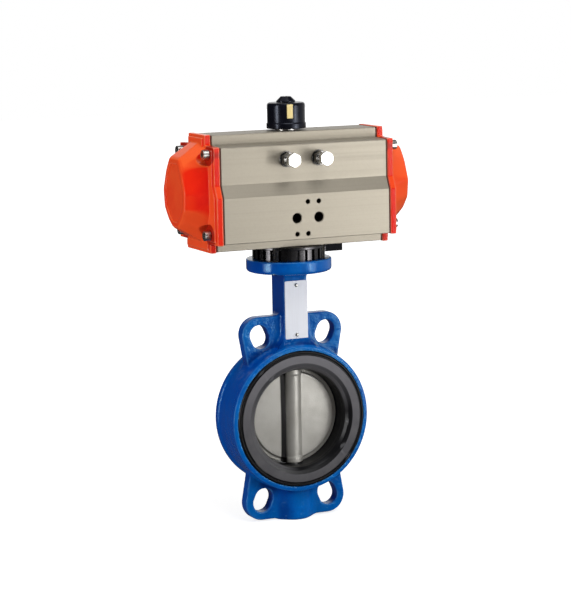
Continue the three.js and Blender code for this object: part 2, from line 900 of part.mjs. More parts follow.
// A cap stands on its flange: its flat side at zero, its dome towards +Z
function capBlank() {
  const flange = prism(bodyOutline(capProud), 0, capFlangeThickness);
  const base = domeOutline(domeBaseShares, domeBaseHalfWidth, domeBaseRise);
  const dome = loft([
    { outline: base, height: capFlangeThickness - overrun },
    { outline: shrunkDome(0), height: capDepth - domeEdge },
    { outline: shrunkDome(domeEdge / 3), height: capDepth - domeEdge / 3 },
    { outline: shrunkDome(domeEdge), height: capDepth },
  ]).translate(0, cylinderHeight, 0);
  return join(flange, dome);
}

function endCap() {
  const face = prism(shrunkDome(domeEdge + domeFaceInset), capDepth - domeFaceDepth, capDepth + overrun);
  const screwHoles = capScrewPlaces.flatMap(([y, z]) => [
    cylinder(capScrewRadius + clearance, -overrun, capDepth, screwSteps).translate(y, z, 0),
    cylinder(capPocketRadius, capFlangeThickness, capDepth + overrun, shaftSteps).translate(y, z, 0),
  ]);
  return turnToX(cut(
    capBlank(),
    face.translate(0, cylinderHeight, 0),
    cone(cavityMouthRadius, cavityEndRadius, -overrun, cavityDepth, bossSteps)
      .translate(0, cylinderHeight, 0),
    capAirSlot(),
    ...screwHoles,
  ));
}

// A slot in the cap's flat side leads air from the body's airway to the cavity
function capAirSlot() {
  const rise = cylinderHeight - airwayZ;
  const reach = Math.hypot(airwayY, rise);
  return block([0, -capAirSlotWidth / 2, -overrun], [reach, capAirSlotWidth / 2, capAirSlotDepth])
    .rotateZ(Math.atan2(rise, airwayY))
    .translate(-airwayY, airwayZ, 0);
}

function capGasket() {
  const holes = capScrewPlaces.map(([y, z]) => (
    cylinder(capScrewRadius + clearance, -overrun, gasketThickness + overrun, screwSteps).translate(y, z, 0)
  ));
  return turnToX(cut(
    prism(bodyOutline(0), 0, gasketThickness),
    cylinder(gasketInnerRadius, -overrun, gasketThickness + overrun, barrelSteps)
      .translate(0, cylinderHeight, 0),
    capAirSlot().translate(0, 0, -overrun),
    ...holes,
  ));
}

function capScrew() {
  return turnToX(socketScrew(
    capScrewHeadRadius,
    capScrewHeadHeight,
    capScrewRadius,
    capScrewLength,
    capScrewSocketAcross,
    capScrewSocketDepth,
  ));
}

// Involute teeth, one of them pointing along +Y
function gearOutline() {
  const pressure = pressureAngleDegrees * degrees;
  const baseRadius = pitchRadius * Math.cos(pressure);
  const tipRadius = pitchRadius + gearAddendum;
  const rootRadius = pitchRadius - gearDedendum;
  const unwound = (angle) => Math.tan(angle) - angle;
  const halfTooth = (toothPitch - gearBacklash) / 4 / pitchRadius;
  const points = [];
  for (let tooth = 0; tooth < gearTeeth; tooth++) {
    const middle = Math.PI / 2 + 2 * Math.PI * tooth / gearTeeth;
    const flank = [[rootRadius, halfTooth + unwound(pressure)]];
    for (let i = 0; i <= flankSteps; i++) {
      const radius = baseRadius + (tipRadius - baseRadius) * i / flankSteps;
      flank.push([radius, halfTooth + unwound(pressure) - unwound(Math.acos(baseRadius / radius))]);
    }
    for (const [radius, lead] of flank) {
      points.push([radius * Math.cos(middle - lead), radius * Math.sin(middle - lead)]);
    }
    for (const [radius, lead] of flank.reverse()) {
      points.push([radius * Math.cos(middle + lead), radius * Math.sin(middle + lead)]);
    }
  }
  return points;
}

function pinion() {
  const gearLow = cylinderHeight - gearWidth / 2;
  const gearHigh = cylinderHeight + gearWidth / 2;
  const top = bodyHeight + pinionProud;
  const grooveRadius = pinionShaftRadius - circlipGrooveDepth;
  const shaft = revolve([
    [0, clearance],
    [pinionFootRadius, clearance],
    [pinionFootRadius, gearLow + overrun],
    [pinionShaftRadius, gearLow + overrun],
    [pinionShaftRadius, circlipHeight - clearance],
    [grooveRadius, circlipHeight - clearance],
    [grooveRadius, circlipHeight + circlipThickness + clearance],
    [pinionShaftRadius, circlipHeight + circlipThickness + clearance],
    [pinionShaftRadius, top],
    [0, top],
  ], bossSteps);
  const key = block(
    [-keyWidth / 2, 0, camBottom],
    [keyWidth / 2, pinionShaftRadius + keyHeight, camBottom + camHeight],
  );
  const socket = squareAcross / 2 + clearance;
  return cut(
    join(shaft, prism(gearOutline(), gearLow, gearHigh), key),
    block([-socket, -socket, -overrun], [socket, socket, squareLength + clearance]),
    cylinder(knobShankRadius + clearance, top - knobShankLength, top + overrun, screwSteps),
  );
}

// The cam's lobe meets the closed stop, and its arm meets the open one a quarter turn later
function stopCam() {
  const low = camBottom;
  const high = camBottom + camHeight;
  const bore = pinionShaftRadius + clearance;
  return cut(
    join(
      cylinder(camRadius, low, high, bossSteps),
      block([0, -camRadius, low], [camLobeWidth, 0, high]),
      block([-camRadius, 0, low], [camArmWidth - camRadius, camArmReach, high]),
    ),
    cylinder(bore, low - overrun, high + overrun, bossSteps),
    block(
      [-keyWidth / 2 - clearance, 0, low - overrun],
      [keyWidth / 2 + clearance, bore + keyHeight, high + overrun],
    ),
  );
}

function stopScrew() {
  const face = upperPanelWidth / 2 + stopScrewProud;
  const shank = cylinder(stopScrewRadius, camRadius + clearance, face - overrun, screwSteps);
  const head = common(
    prism(hexagon(stopHeadAcross), face - stopHeadHeight, face),
    revolve([
      [0, face - stopHeadHeight - overrun],
      [stopHeadAcross, face - stopHeadHeight - overrun],
      [stopHeadAcross / 2 + nutBevel, face - nutBevel],
      [stopHeadAcross / 2, face],
      [0, face],
    ], shaftSteps),
  );
  return turnToFront(join(shank, head));
}

function stopNut() {
  const low = upperPanelWidth / 2 + stopWasherThickness + 2 * clearance;
  const high = low + stopNutHeight;
  const blank = common(
    prism(hexagon(stopNutAcross), low, high),
    revolve([
      [0, low],
      [stopNutAcross / 2, low],
      [stopNutAcross / 2 + nutBevel, low + nutBevel],
      [stopNutAcross / 2 + nutBevel, high - nutBevel],
      [stopNutAcross / 2, high],
      [0, high],
    ], shaftSteps),
  );
  const bore = cylinder(stopScrewRadius + clearance, low - overrun, high + overrun, screwSteps);
  return turnToFront(cut(blank, bore));
}

function stopWasher() {
  const low = upperPanelWidth / 2 + clearance;
  return turnToFront(sleeve(stopScrewRadius + clearance, stopWasherRadius, low, low + stopWasherThickness));
}

// Straight-sided rack teeth that face the pinion, with a gap in line with its axis
function rackOutline() {
  const slope = Math.tan(pressureAngleDegrees * degrees);
  const tip = pitchRadius - gearAddendum;
  const root = pitchRadius + gearDedendum;
  const halfTooth = (toothPitch - gearBacklash) / 4;
  const halfTip = halfTooth - gearAddendum * slope;
  const halfRoot = halfTooth + gearDedendum * slope;
  const start = -pistonHeadPlace - overrun;
  const points = [[start, root]];
  for (let i = 0; i < rackTeeth; i++) {
    const middle = (firstRackTooth + i + 1 / 2) * toothPitch;
    points.push([middle - halfRoot, root]);
    points.push([middle - halfTip, tip]);
    points.push([middle + halfTip, tip]);
    points.push([middle + halfRoot, root]);
  }
  points.push([rackEnd, root], [rackEnd, cylinderRadius], [start, cylinderRadius]);
  return points;
}

const guideStart = rackEnd - guideInset - guideLength;
const guideFloor = pistonRadius - guideThickness;

// The left piston: head towards -X, rack behind the pinion. Its axis is the X axis.
function piston() {
  const back = -pistonHeadPlace - pistonHeadLength;
  const grooveStart = back + ringGrooveInset;
  const head = turnToX(revolve([
    [0, back],
    [pistonRadius, back],
    [pistonRadius, grooveStart],
    [pistonRadius - ringGrooveDepth, grooveStart],
    [pistonRadius - ringGrooveDepth, grooveStart + ringGrooveWidth],
    [pistonRadius, grooveStart + ringGrooveWidth],
    [pistonRadius, -pistonHeadPlace],
    [0, -pistonHeadPlace],
  ], barrelSteps));
  const arm = common(
    prism(rackOutline(), -rackHeight / 2, rackHeight / 2),
    turnToX(cylinder(pistonRadius, -bodyLength, bodyLength, barrelSteps)),
  );
  const guidePocket = block(
    [guideStart - clearance, guideFloor - clearance, -guideHeight / 2 - clearance],
    [guideStart + guideLength + clearance, cylinderRadius, guideHeight / 2 + clearance],
  );
  return cut(join(head, arm), guidePocket);
}

function pistonRing() {
  const start = -pistonHeadPlace - pistonHeadLength + ringGrooveInset + clearance;
  const end = start + ringGrooveWidth - 2 * clearance;
  return turnToX(revolve([
    [pistonRadius - ringGrooveDepth + clearance, start],
    [cylinderRadius - clearance, start],
    [cylinderRadius - clearance, end],
    [pistonRadius - ringGrooveDepth + clearance, end],
  ], barrelSteps));
}

function pistonGuide() {
  return common(
    block(
      [guideStart, guideFloor, -guideHeight / 2],
      [guideStart + guideLength, cylinderRadius, guideHeight / 2],
    ),
    turnToX(cylinder(cylinderRadius - clearance, -bodyLength, bodyLength, barrelSteps)),
  );
}

function circlip() {
  const inner = pinionShaftRadius - circlipGrooveDepth + clearance;
  return cut(
    sleeve(inner, circlipRadius, circlipHeight, circlipHeight + circlipThickness, bossSteps),
    block(
      [-circlipGap / 2, 0, circlipHeight - overrun],
      [circlipGap / 2, 2 * circlipRadius, circlipHeight + circlipThickness + overrun],
    ),
  );
}

// The indicator stands at zero, its middle on the pinion's axis
function insertSlice(grow) {
  return block(
    [-insertWidth / 2 - grow, -indicatorRadius - overrun, insertTop - insertHeight - grow],
    [insertWidth / 2 + grow, insertThickness - indicatorRadius + grow, insertTop + grow],
  );
}

function positionIndicator() {
  const wallRadius = indicatorRadius - indicatorTaper;
  const blank = revolve([
    [0, 0],
    [indicatorRadius, 0],
    [indicatorRadius, indicatorSkirt],
    [wallRadius, indicatorSkirt + indicatorTaper],
    [wallRadius, indicatorHeight - indicatorEdge],
    [wallRadius - indicatorEdge / 3, indicatorHeight - indicatorEdge / 3],
    [wallRadius - indicatorEdge, indicatorHeight],
    [0, indicatorHeight],
  ], bossSteps);
  const shaftTop = pinionProud - indicatorGap + clearance;
  return cut(
    blank,
    cylinder(indicatorCavityRadius, -overrun, indicatorCavityHeight, bossSteps),
    cylinder(pinionShaftRadius + clearance, -overrun, shaftTop, shaftSteps),
    cylinder(knobShankRadius + clearance, 0, indicatorHeight + overrun, screwSteps),
    insertSlice(clearance),
  );
}

function indicatorInsert() {
  const outer = indicatorRadius - indicatorTaper;
  return common(insertSlice(0), cylinder(outer, -overrun, indicatorHeight, barrelSteps));
}

// A cone-headed screw with a cross slot holds the indicator down
function indicatorScrew() {
  const seat = indicatorHeight + clearance;
  const top = seat + knobHeight;
  const blank = revolve([
    [0, seat - knobShankLength],
    [knobShankRadius, seat - knobShankLength],
    [knobShankRadius, seat],
    [knobRadius, seat],
    [knobRadius, seat + knobRim],
    [knobTopRadius, top],
    [0, top],
  ], shaftSteps);
  const blades = [0, Math.PI / 2].map((angle) => (
    block(
      [-knobRadius, -slotBladeWidth / 2, top - slotBladeDepth],
      [knobRadius, slotBladeWidth / 2, top + overrun],
    ).rotateZ(angle)
  ));
  return cut(blank, ...blades);
}

const finishes = {
  enamel: { color: 0x1257b0, roughness: 0.35, metalness: 0 },
  capPaint: { color: 0xe2401c, roughness: 0.3, metalness: 0 },
  anodised: { color: 0xb7b1a2, roughness: 0.45, metalness: 0.8 },
  castMetal: { color: 0xa9a49b, roughness: 0.5, metalness: 0.8 },
  steel: { color: 0xb5b5b5, roughness: 0.35, metalness: 1 },
  chrome: { color: 0xd6d6d6, roughness: 0.15, metalness: 1 },
  rubber: { color: 0x3c3c40, roughness: 0.8, metalness: 0 },
  blackPlastic: { color: 0x1d1e22, roughness: 0.45, metalness: 0 },
  yellowPlastic: { color: 0xf2d277, roughness: 0.5, metalness: 0 },
  palePlastic: { color: 0xd9d4c4, roughness: 0.6, metalness: 0 },
  bronze: { color: 0xa07a4a, roughness: 0.5, metalness: 0.8 },
  tagMetal: { color: 0xe6e4de, roughness: 0.5, metalness: 0.3 },
};

function piece(name, geometry, finish) {
  const shown = geometry.toNonIndexed();
  shown.computeVertexNormals();
  const mesh = new THREE.Mesh(shown, new THREE.MeshStandardMaterial(finishes[finish]));
  mesh.name = name;
  return mesh;
}

function placed(mesh, x, y, z, turn = 0) {
  mesh.position.set(x, y, z);
  mesh.rotation.z = turn;
  return mesh;
}

const valve = new THREE.Group();
const bushingHeights = [
  ringInnerRadius + overrun,
  flangeTop - stemSealLength - bushingLength - 3 * clearance,
];
valve.add(
  piece('valve_body', valveBody(), 'enamel'),
  piece('valve_seat', valveSeat(), 'rubber'),
  piece('disc', disc(), 'castMetal'),
  piece('upper_stem', upperStem(), 'steel'),
  piece('lower_stem', lowerStem(), 'steel'),
  piece('disc_pin_upper', discPin(pinHeight), 'steel'),
  piece('disc_pin_lower', discPin(-pinHeight), 'steel'),
  piece('stem_bushing_lower', stemBushing(bushingHeights[0]), 'bronze'),
  piece('stem_bushing_upper', stemBushing(bushingHeights[1]), 'bronze'),
  piece('foot_bushing', stemBushing(-ringInnerRadius - overrun - bushingLength), 'bronze'),
  piece('stem_seal', sleeve(
    stemRadius + clearance,
    bushingRadius,
    flangeTop - stemSealLength - clearance,
    flangeTop - clearance,
  ), 'rubber'),
  piece('tag_plate', tagPlate(), 'tagMetal'),
  piece('tag_rivet_lower', tagRivet(tagRivetHeights[0]), 'steel'),
  piece('tag_rivet_upper', tagRivet(tagRivetHeights[1]), 'steel'),
  placed(piece('notched_plate', notchedPlate(), 'blackPlastic'), 0, 0, flangeTop + clearance),
);
boltPlaces.forEach(([x, y], i) => {
  valve.add(placed(piece(`flange_bolt_${i + 1}`, flangeBolt(), 'steel'), x, y, 0));
});

const actuator = new THREE.Group();
actuator.position.z = actuatorBase;
actuator.add(
  piece('actuator_body', actuatorBody(), 'anodised'),
  piece('pinion', pinion(), 'steel'),
  piece('stop_cam', stopCam(), 'steel'),
  piece('pinion_bearing_bottom', sleeve(
    pinionFootRadius + clearance,
    baseBearingRadius,
    clearance,
    cylinderHeight - cylinderRadius,
    bossSteps,
  ), 'palePlastic'),
  piece('pinion_bearing_top', sleeve(
    pinionShaftRadius + clearance,
    topBearingRadius,
    camBottom + camHeight + camPocketGap + clearance,
    washerSeat,
    bossSteps,
  ), 'palePlastic'),
  piece('thrust_washer', sleeve(
    pinionShaftRadius + clearance,
    washerRadius,
    washerSeat + clearance,
    washerSeat + clearance + washerThickness,
    bossSteps,
  ), 'palePlastic'),
  piece('retaining_ring', circlip(), 'steel'),
);

// The two sides of the actuator: left is the side as built, right is turned half round
for (const [side, turn] of [['left', 0], ['right', Math.PI]]) {
  const end = new THREE.Group();
  end.rotation.z = turn;
  end.add(
    placed(piece(`piston_${side}`, piston(), 'castMetal'), 0, 0, cylinderHeight),
    placed(piece(`piston_ring_${side}`, pistonRing(), 'rubber'), 0, 0, cylinderHeight),
    placed(piece(`piston_guide_${side}`, pistonGuide(), 'palePlastic'), 0, 0, cylinderHeight),
  );
  actuator.add(end);
}

for (const [side, turn] of [['left', Math.PI], ['right', 0]]) {
  const end = new THREE.Group();
  end.rotation.z = turn;
  end.add(
    placed(piece(`cap_gasket_${side}`, capGasket(), 'rubber'), bodyLength / 2 + clearance, 0, 0),
    placed(piece(`end_cap_${side}`, endCap(), 'capPaint'), capFace, 0, 0),
  );
  capScrewPlaces.forEach(([y, z], i) => {
    const seat = capFace + capFlangeThickness + clearance;
    end.add(placed(piece(`cap_screw_${side}_${i + 1}`, capScrew(), 'chrome'), seat, y, z));
  });
  actuator.add(end);
}

for (const [name, x] of [['open', openStopPlace], ['closed', closedStopPlace]]) {
  actuator.add(
    placed(piece(`stop_screw_${name}`, stopScrew(), 'chrome'), x, 0, stopScrewHeight),
    placed(piece(`stop_nut_${name}`, stopNut(), 'chrome'), x, 0, stopScrewHeight),
    placed(piece(`stop_washer_${name}`, stopWasher(), 'steel'), x, 0, stopScrewHeight),
  );
}

const indicator = new THREE.Group();
indicator.position.z = bodyHeight + indicatorGap;
indicator.rotation.z = insertAngleDegrees * degrees;
indicator.add(
  piece('position_indicator', positionIndicator(), 'blackPlastic'),
  piece('indicator_insert', indicatorInsert(), 'yellowPlastic'),
  piece('indicator_screw', indicatorScrew(), 'blackPlastic'),
);
actuator.add(indicator);

const product = new THREE.Group();
product.add(valve, actuator);

export default product;
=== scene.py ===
"""Looks of an air actuator on a wafer butterfly valve. Lengths are millimetres until a mesh is made."""

import json
import math

import bmesh
import bpy
import numpy as np
from mathutils import Matrix, Vector


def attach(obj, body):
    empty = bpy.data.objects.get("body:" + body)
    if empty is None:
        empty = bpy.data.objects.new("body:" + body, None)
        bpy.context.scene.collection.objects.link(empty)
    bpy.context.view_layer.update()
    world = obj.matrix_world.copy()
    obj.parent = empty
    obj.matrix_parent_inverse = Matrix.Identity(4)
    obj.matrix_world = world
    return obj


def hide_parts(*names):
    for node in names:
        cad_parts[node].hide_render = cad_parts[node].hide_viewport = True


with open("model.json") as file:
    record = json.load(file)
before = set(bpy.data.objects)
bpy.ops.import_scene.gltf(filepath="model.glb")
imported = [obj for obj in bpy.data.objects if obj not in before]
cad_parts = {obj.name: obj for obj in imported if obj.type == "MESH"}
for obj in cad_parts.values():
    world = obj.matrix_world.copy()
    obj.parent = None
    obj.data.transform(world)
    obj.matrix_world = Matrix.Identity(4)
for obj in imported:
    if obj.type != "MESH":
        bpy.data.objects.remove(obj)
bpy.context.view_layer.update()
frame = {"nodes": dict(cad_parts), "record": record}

MM = 0.001

# Places and sizes repeated from the CAD source
RING_RADIUS = 75
BORE_RADIUS = 50
RING_HALF_WIDTH = 24.3
RING_INNER = 62
LIP_RADIUS = 70
LIP_FACE = 26
LIP_BACK = 21
LUG_X = 36.36
LUG_Z = 84.84
SLOT_RADIUS = 10
SLOT_TRAVEL = 5
LUG_WALL = 8.3
LUG_HALF_THICKNESS = 6.5
LUG_ROOT_RADIUS = 40
FOOT_RADIUS = 19
FOOT_BOTTOM = -106.9
NECK_HALF_WIDTH = 13
NECK_HALF_DEPTH = 16
FLANGE_RADIUS = 43.6
FLANGE_TOP = 163.5
FLANGE_THICKNESS = 13
BOLT_PLACE = 24.75
STEM_BORE = 9.3
PLATE_BASE = 163.8
PLATE_THICKNESS = 13.9
ACTUATOR_BASE = 178.0
BODY_HALF_LENGTH = 90.25
BODY_HEIGHT = 115.3
AXIS_HEIGHT = 57.65
CYLINDER_RADIUS = 40
CAP_FACE = 92.05
CAP_FLANGE = 8
CAP_DEPTH = 32
SCREW_Y = 33.53
SCREW_Z = 39.96
POCKET_RADIUS = 11
STOP_HEIGHT = 90
STOP_PLACES = {"open": -20.3, "closed": 15}
PANEL_FACE = 43.55
PAD_FACE = 49.3
PORT_HEIGHT = 30.95
INDICATOR_BASE = 295.4
INSERT_TURN = math.radians(-12)

# Sizes of the outer pieces that the surfaces follow too
FLARE_END = 57.4
GROOVE_INNER = 65.6
GROOVE_OUTER = 68.0
DECK_RADIUS = 38.3
PORT_RADIUS = 5
PORT_SPACING = 24
PATTERN_HEIGHT = 32
PATTERN_REACH = 19
HOLE_FLOOR = 30

# Fineness of the round forms
FINE = 160
MEDIUM = 96
SMALL = 48
TINY = 32


# Meshes

def new_object(name, verts, faces):
    mesh = bpy.data.meshes.new(name)
    points = np.asarray(verts, float) * MM
    mesh.from_pydata(points.tolist(), [], [tuple(int(i) for i in f) for f in faces])
    mesh.update()
    obj = bpy.data.objects.new(name, mesh)
    bpy.context.scene.collection.objects.link(obj)
    return obj


def tidy_mesh(obj):
    """Merges doubled corners and turns every face outward."""
    bm = bmesh.new()
    bm.from_mesh(obj.data)
    bmesh.ops.remove_doubles(bm, verts=bm.verts, dist=1e-6)
    bmesh.ops.dissolve_degenerate(bm, edges=bm.edges, dist=1e-7)
    bmesh.ops.recalc_face_normals(bm, faces=bm.faces)
    bm.to_mesh(obj.data)
    bm.free()
    obj.data.update()
    return obj


def smooth(obj, degrees=35):
    obj.data.polygons.foreach_set("use_smooth", [True] * len(obj.data.polygons))
    obj.data.set_sharp_from_angle(angle=math.radians(degrees))
    return obj


def crisp(obj, degrees=35):
    """Smooth shading in which the large flat faces stay flat beside their bevels."""
    smooth(obj, degrees)
    modifier = obj.modifiers.new("normals", "WEIGHTED_NORMAL")
    modifier.keep_sharp = True
    return settle(obj)


def softened(points, radius, steps=4, closed=True):
    """A polyline whose corners are rounded. radius is one number or one per corner."""
    points = [np.array(p, float) for p in points]
    count = len(points)
    radii = [radius] * count if np.isscalar(radius) else list(radius)
    out = []
    for i, here in enumerate(points):
        if radii[i] <= 0 or (not closed and i in (0, count - 1)):
            out.append(tuple(here))
            continue
        before, after = points[i - 1] - here, points[(i + 1) % count] - here
        a, b = before / np.linalg.norm(before), after / np.linalg.norm(after)
        half = math.acos(max(-1, min(1, float(a @ b)))) / 2
        reach = radii[i] / math.tan(half)
        longest = 0.49 * min(np.linalg.norm(before), np.linalg.norm(after))
        reach = min(reach, longest)
        start, end = here + a * reach, here + b * reach
        for k in range(steps + 1):
            t = k / steps
            out.append(tuple((1 - t) ** 2 * start + 2 * t * (1 - t) * here + t * t * end))
    return out


def lathe(name, profile, steps, closed=True):
    """Turns a profile of (radius, height) round Z."""
    verts, faces = [], []
    count = len(profile)
    for i in range(steps):
        a = 2 * math.pi * i / steps
        verts += [(r * math.cos(a), r * math.sin(a), h) for r, h in profile]
    last = count if closed else count - 1
    for i in range(steps):
        j = (i + 1) % steps
        for k in range(last):
            m = (k + 1) % count
            faces.append((i * count + k, j * count + k, j * count + m, i * count + m))
    return tidy_mesh(new_object(name, verts, faces))


def prism(name, outline, low, high):
    count = len(outline)
    verts = [(x, y, low) for x, y in outline] + [(x, y, high) for x, y in outline]
    faces = [tuple(range(count - 1, -1, -1)), tuple(range(count, 2 * count))]
    for i in range(count):
        j = (i + 1) % count
        faces.append((i, j, count + j, count + i))
    return tidy_mesh(new_object(name, verts, faces))


def circle(radius, steps, x=0, y=0):
    turn = [2 * math.pi * i / steps for i in range(steps)]
    return [(x + radius * math.cos(a), y + radius * math.sin(a)) for a in turn]


def hexagon(across):
    """A hexagon with a corner at the top."""
    radius = across / math.sqrt(3)
    return [(radius * math.sin(k * math.pi / 3), -radius * math.cos(k * math.pi / 3)) for k in range(6)]


TO_FRONT = Matrix.Rotation(math.pi / 2, 4, "X")
TO_RIGHT = Matrix.Rotation(math.pi / 2, 4, "Y")
TO_LEFT = Matrix.Rotation(-math.pi / 2, 4, "Y")


def place(obj, x=0.0, y=0.0, z=0.0, turn=None):
    if turn is not None:
        obj.data.transform(turn)
    obj.data.transform(Matrix.Translation(Vector((x, y, z)) * MM))
    obj.data.update()
    return obj


def carve(obj, cutters, operation="DIFFERENCE"):
    """Booleans that are applied at once. The cutters are used up."""
    for cutter in cutters:
        modifier = obj.modifiers.new("cut", "BOOLEAN")
        modifier.object = cutter
        modifier.operation = operation
        modifier.solver = "EXACT"
    settle(obj)
    for cutter in cutters:
        bpy.data.objects.remove(cutter)
    return obj


def settle(obj):
    """Applies all modifiers."""
    graph = bpy.context.evaluated_depsgraph_get()
    done = bpy.data.meshes.new_from_object(obj.evaluated_get(graph))
    obj.modifiers.clear()
    obj.data = done
    return obj


def bevelled(obj, width, segments=2, degrees=35):
    modifier = obj.modifiers.new("bevel", "BEVEL")
    modifier.width = width * MM
    modifier.segments = segments
    modifier.limit_method = "ANGLE"
    modifier.angle_limit = math.radians(degrees)
    modifier.use_clamp_overlap = True
    return settle(obj)


def joined(name, *objects):
    """One object from several closed meshes."""
    bm = bmesh.new()
    for obj in objects:
        bm.from_mesh(obj.data)
    mesh = bpy.data.meshes.new(name)
    bm.to_mesh(mesh)
    bm.free()
    for obj in objects:
        bpy.data.objects.remove(obj)
    whole = bpy.data.objects.new(name, mesh)
    bpy.context.scene.collection.objects.link(whole)
    return whole


# Castings, as distance fields with filleted joints

def soft_join(a, b, k):
    h = np.maximum(k - np.abs(a - b), 0) / k
    return np.minimum(a, b) - h * h * k / 4


def soft_cut(a, b, k):
    return -soft_join(-a, b, k)


def soft_common(a, b, k):
    return -soft_join(-a, -b, k)


def corner_round(a, b, radius):
    """Where two sides meet, with an outer edge of that radius."""
    a, b = a + radius, b + radius
    return np.hypot(np.maximum(a, 0), np.maximum(b, 0)) + np.minimum(np.maximum(a, b), 0) - radius


def band(value, low, high):
    """Distance to the stretch between two values, negative inside."""
    return np.abs(value - (low + high) / 2) - (high - low) / 2


def hull(points):
    """The convex outline round a set of points."""
    points = sorted(set(points))

    def chain(row):
        kept = []
        for p in row:
            while len(kept) > 1:
                (ax, ay), (bx, by) = kept[-2], kept[-1]
                if (bx - ax) * (p[1] - ay) - (by - ay) * (p[0] - ax) > 0:
                    break
                kept.pop()
            kept.append(p)
        return kept[:-1]

    return chain(points) + chain(points[::-1])


def inside_hull(outline, x, y):
    """Distance to a convex outline, negative inside."""
    far = None
    for (ax, ay), (bx, by) in zip(outline, outline[1:] + outline[:1]):
        length = math.hypot(bx - ax, by - ay)
        if length < 1e-9:
            continue
        side = ((x - ax) * (by - ay) - (y - ay) * (bx - ax)) / length
        far = side if far is None else np.maximum(far, side)
    return far


def inside_outline(outline, x, y):
    """Distance to any closed outline, negative inside."""
    near = None
    sign = 1
    for (ax, ay), (bx, by) in zip(outline, outline[1:] + outline[:1]):
        ex, ey = bx - ax, by - ay
        wx, wy = x - ax, y - ay
        t = np.clip((wx * ex + wy * ey) / (ex * ex + ey * ey), 0, 1)
        gap = (wx - ex * t) ** 2 + (wy - ey * t) ** 2
        near = gap if near is None else np.minimum(near, gap)
        above, below = y >= ay, y < by
        left = ex * wy > ey * wx
        crosses = (above & below & left) | (~above & ~below & ~left)
        sign = np.where(crosses, -sign, sign)
    return sign * np.sqrt(near)


def skin(name, field, low, high, step, pulls=3):
    """The zero surface of field(x, y, z), as quads (surface nets), drawn onto it by small steps."""
    low, high = np.array(low, float), np.array(high, float)
    counts = np.ceil((high - low) / step).astype(int) + 1
    axes = [low[i] + step * np.arange(counts[i]) for i in range(3)]
    values = np.broadcast_to(
        field(axes[0][:, None, None], axes[1][None, :, None], axes[2][None, None, :]), counts
    ).astype(np.float32)
    inside = values < 0
    corners = [(i, j, k) for i in (0, 1) for j in (0, 1) for k in (0, 1)]

    def shifted(array, corner):
        return array[tuple(slice(c, n - 1 + c) for c, n in zip(corner, array.shape))]

    full = sum(shifted(inside, c).astype(np.int8) for c in corners)
    cells = np.argwhere((full > 0) & (full < 8))
    index = np.full(full.shape, -1, np.int64)
    index[tuple(cells.T)] = np.arange(len(cells))
    total, hits = np.zeros((len(cells), 3)), np.zeros(len(cells))
    for a in corners:
        for axis in range(3):
            if a[axis]:
                continue
            b = tuple(c + (axis == i) for i, c in enumerate(a))
            va = values[tuple((cells + a).T)].astype(float)
            vb = values[tuple((cells + b).T)].astype(float)
            hit = (va < 0) != (vb < 0)
            t = va[hit] / (va[hit] - vb[hit])
            total[hit] += np.array(a) + t[:, None] * (np.array(b) - np.array(a))
            hits[hit] += 1
    verts = low + (cells + total / hits[:, None]) * step
    faces = []
    for axis in range(3):
        u, v = [(1, 2), (2, 0), (0, 1)][axis]
        first = [slice(None)] * 3
        second = [slice(None)] * 3
        first[axis], second[axis] = slice(0, -1), slice(1, None)
        change = inside[tuple(first)] != inside[tuple(second)]
        places = np.argwhere(change)
        keep = (places[:, u] > 0) & (places[:, v] > 0)
        places = places[keep]
        out = inside[tuple(first)][tuple(places.T)]
        steps = np.zeros((4, 3), int)
        steps[1, u] = steps[2, u] = steps[2, v] = steps[3, v] = -1
        ring = np.stack([index[tuple((places + s).T)] for s in steps], 1)
        ring[~out] = ring[~out][:, ::-1]
        faces.append(ring)
    faces = np.concatenate(faces)
    for _ in range(pulls):
        x, y, z = verts.T
        here = field(x, y, z)
        nudge = step / 20
        slope = np.stack([
            field(x + nudge, y, z) - here,
            field(x, y + nudge, z) - here,
            field(x, y, z + nudge) - here,
        ], 1) / nudge
        size = np.maximum((slope ** 2).sum(1), 0.25)
        move = -(here / size)[:, None] * slope
        verts = verts + np.clip(move, -step / 2, step / 2)
    return new_object(name, verts, faces)


# Materials

# How softly a mask ends, in mm
MASK_EDGE = 0.4


def math_node(tree, operation, first, second):
    made = tree.nodes.new("ShaderNodeMath")
    made.operation = operation
    for socket, value in zip(made.inputs, (first, second)):
        if isinstance(value, (int, float)):
            socket.default_value = value
        else:
            tree.links.new(value, socket)
    return made.outputs[0]


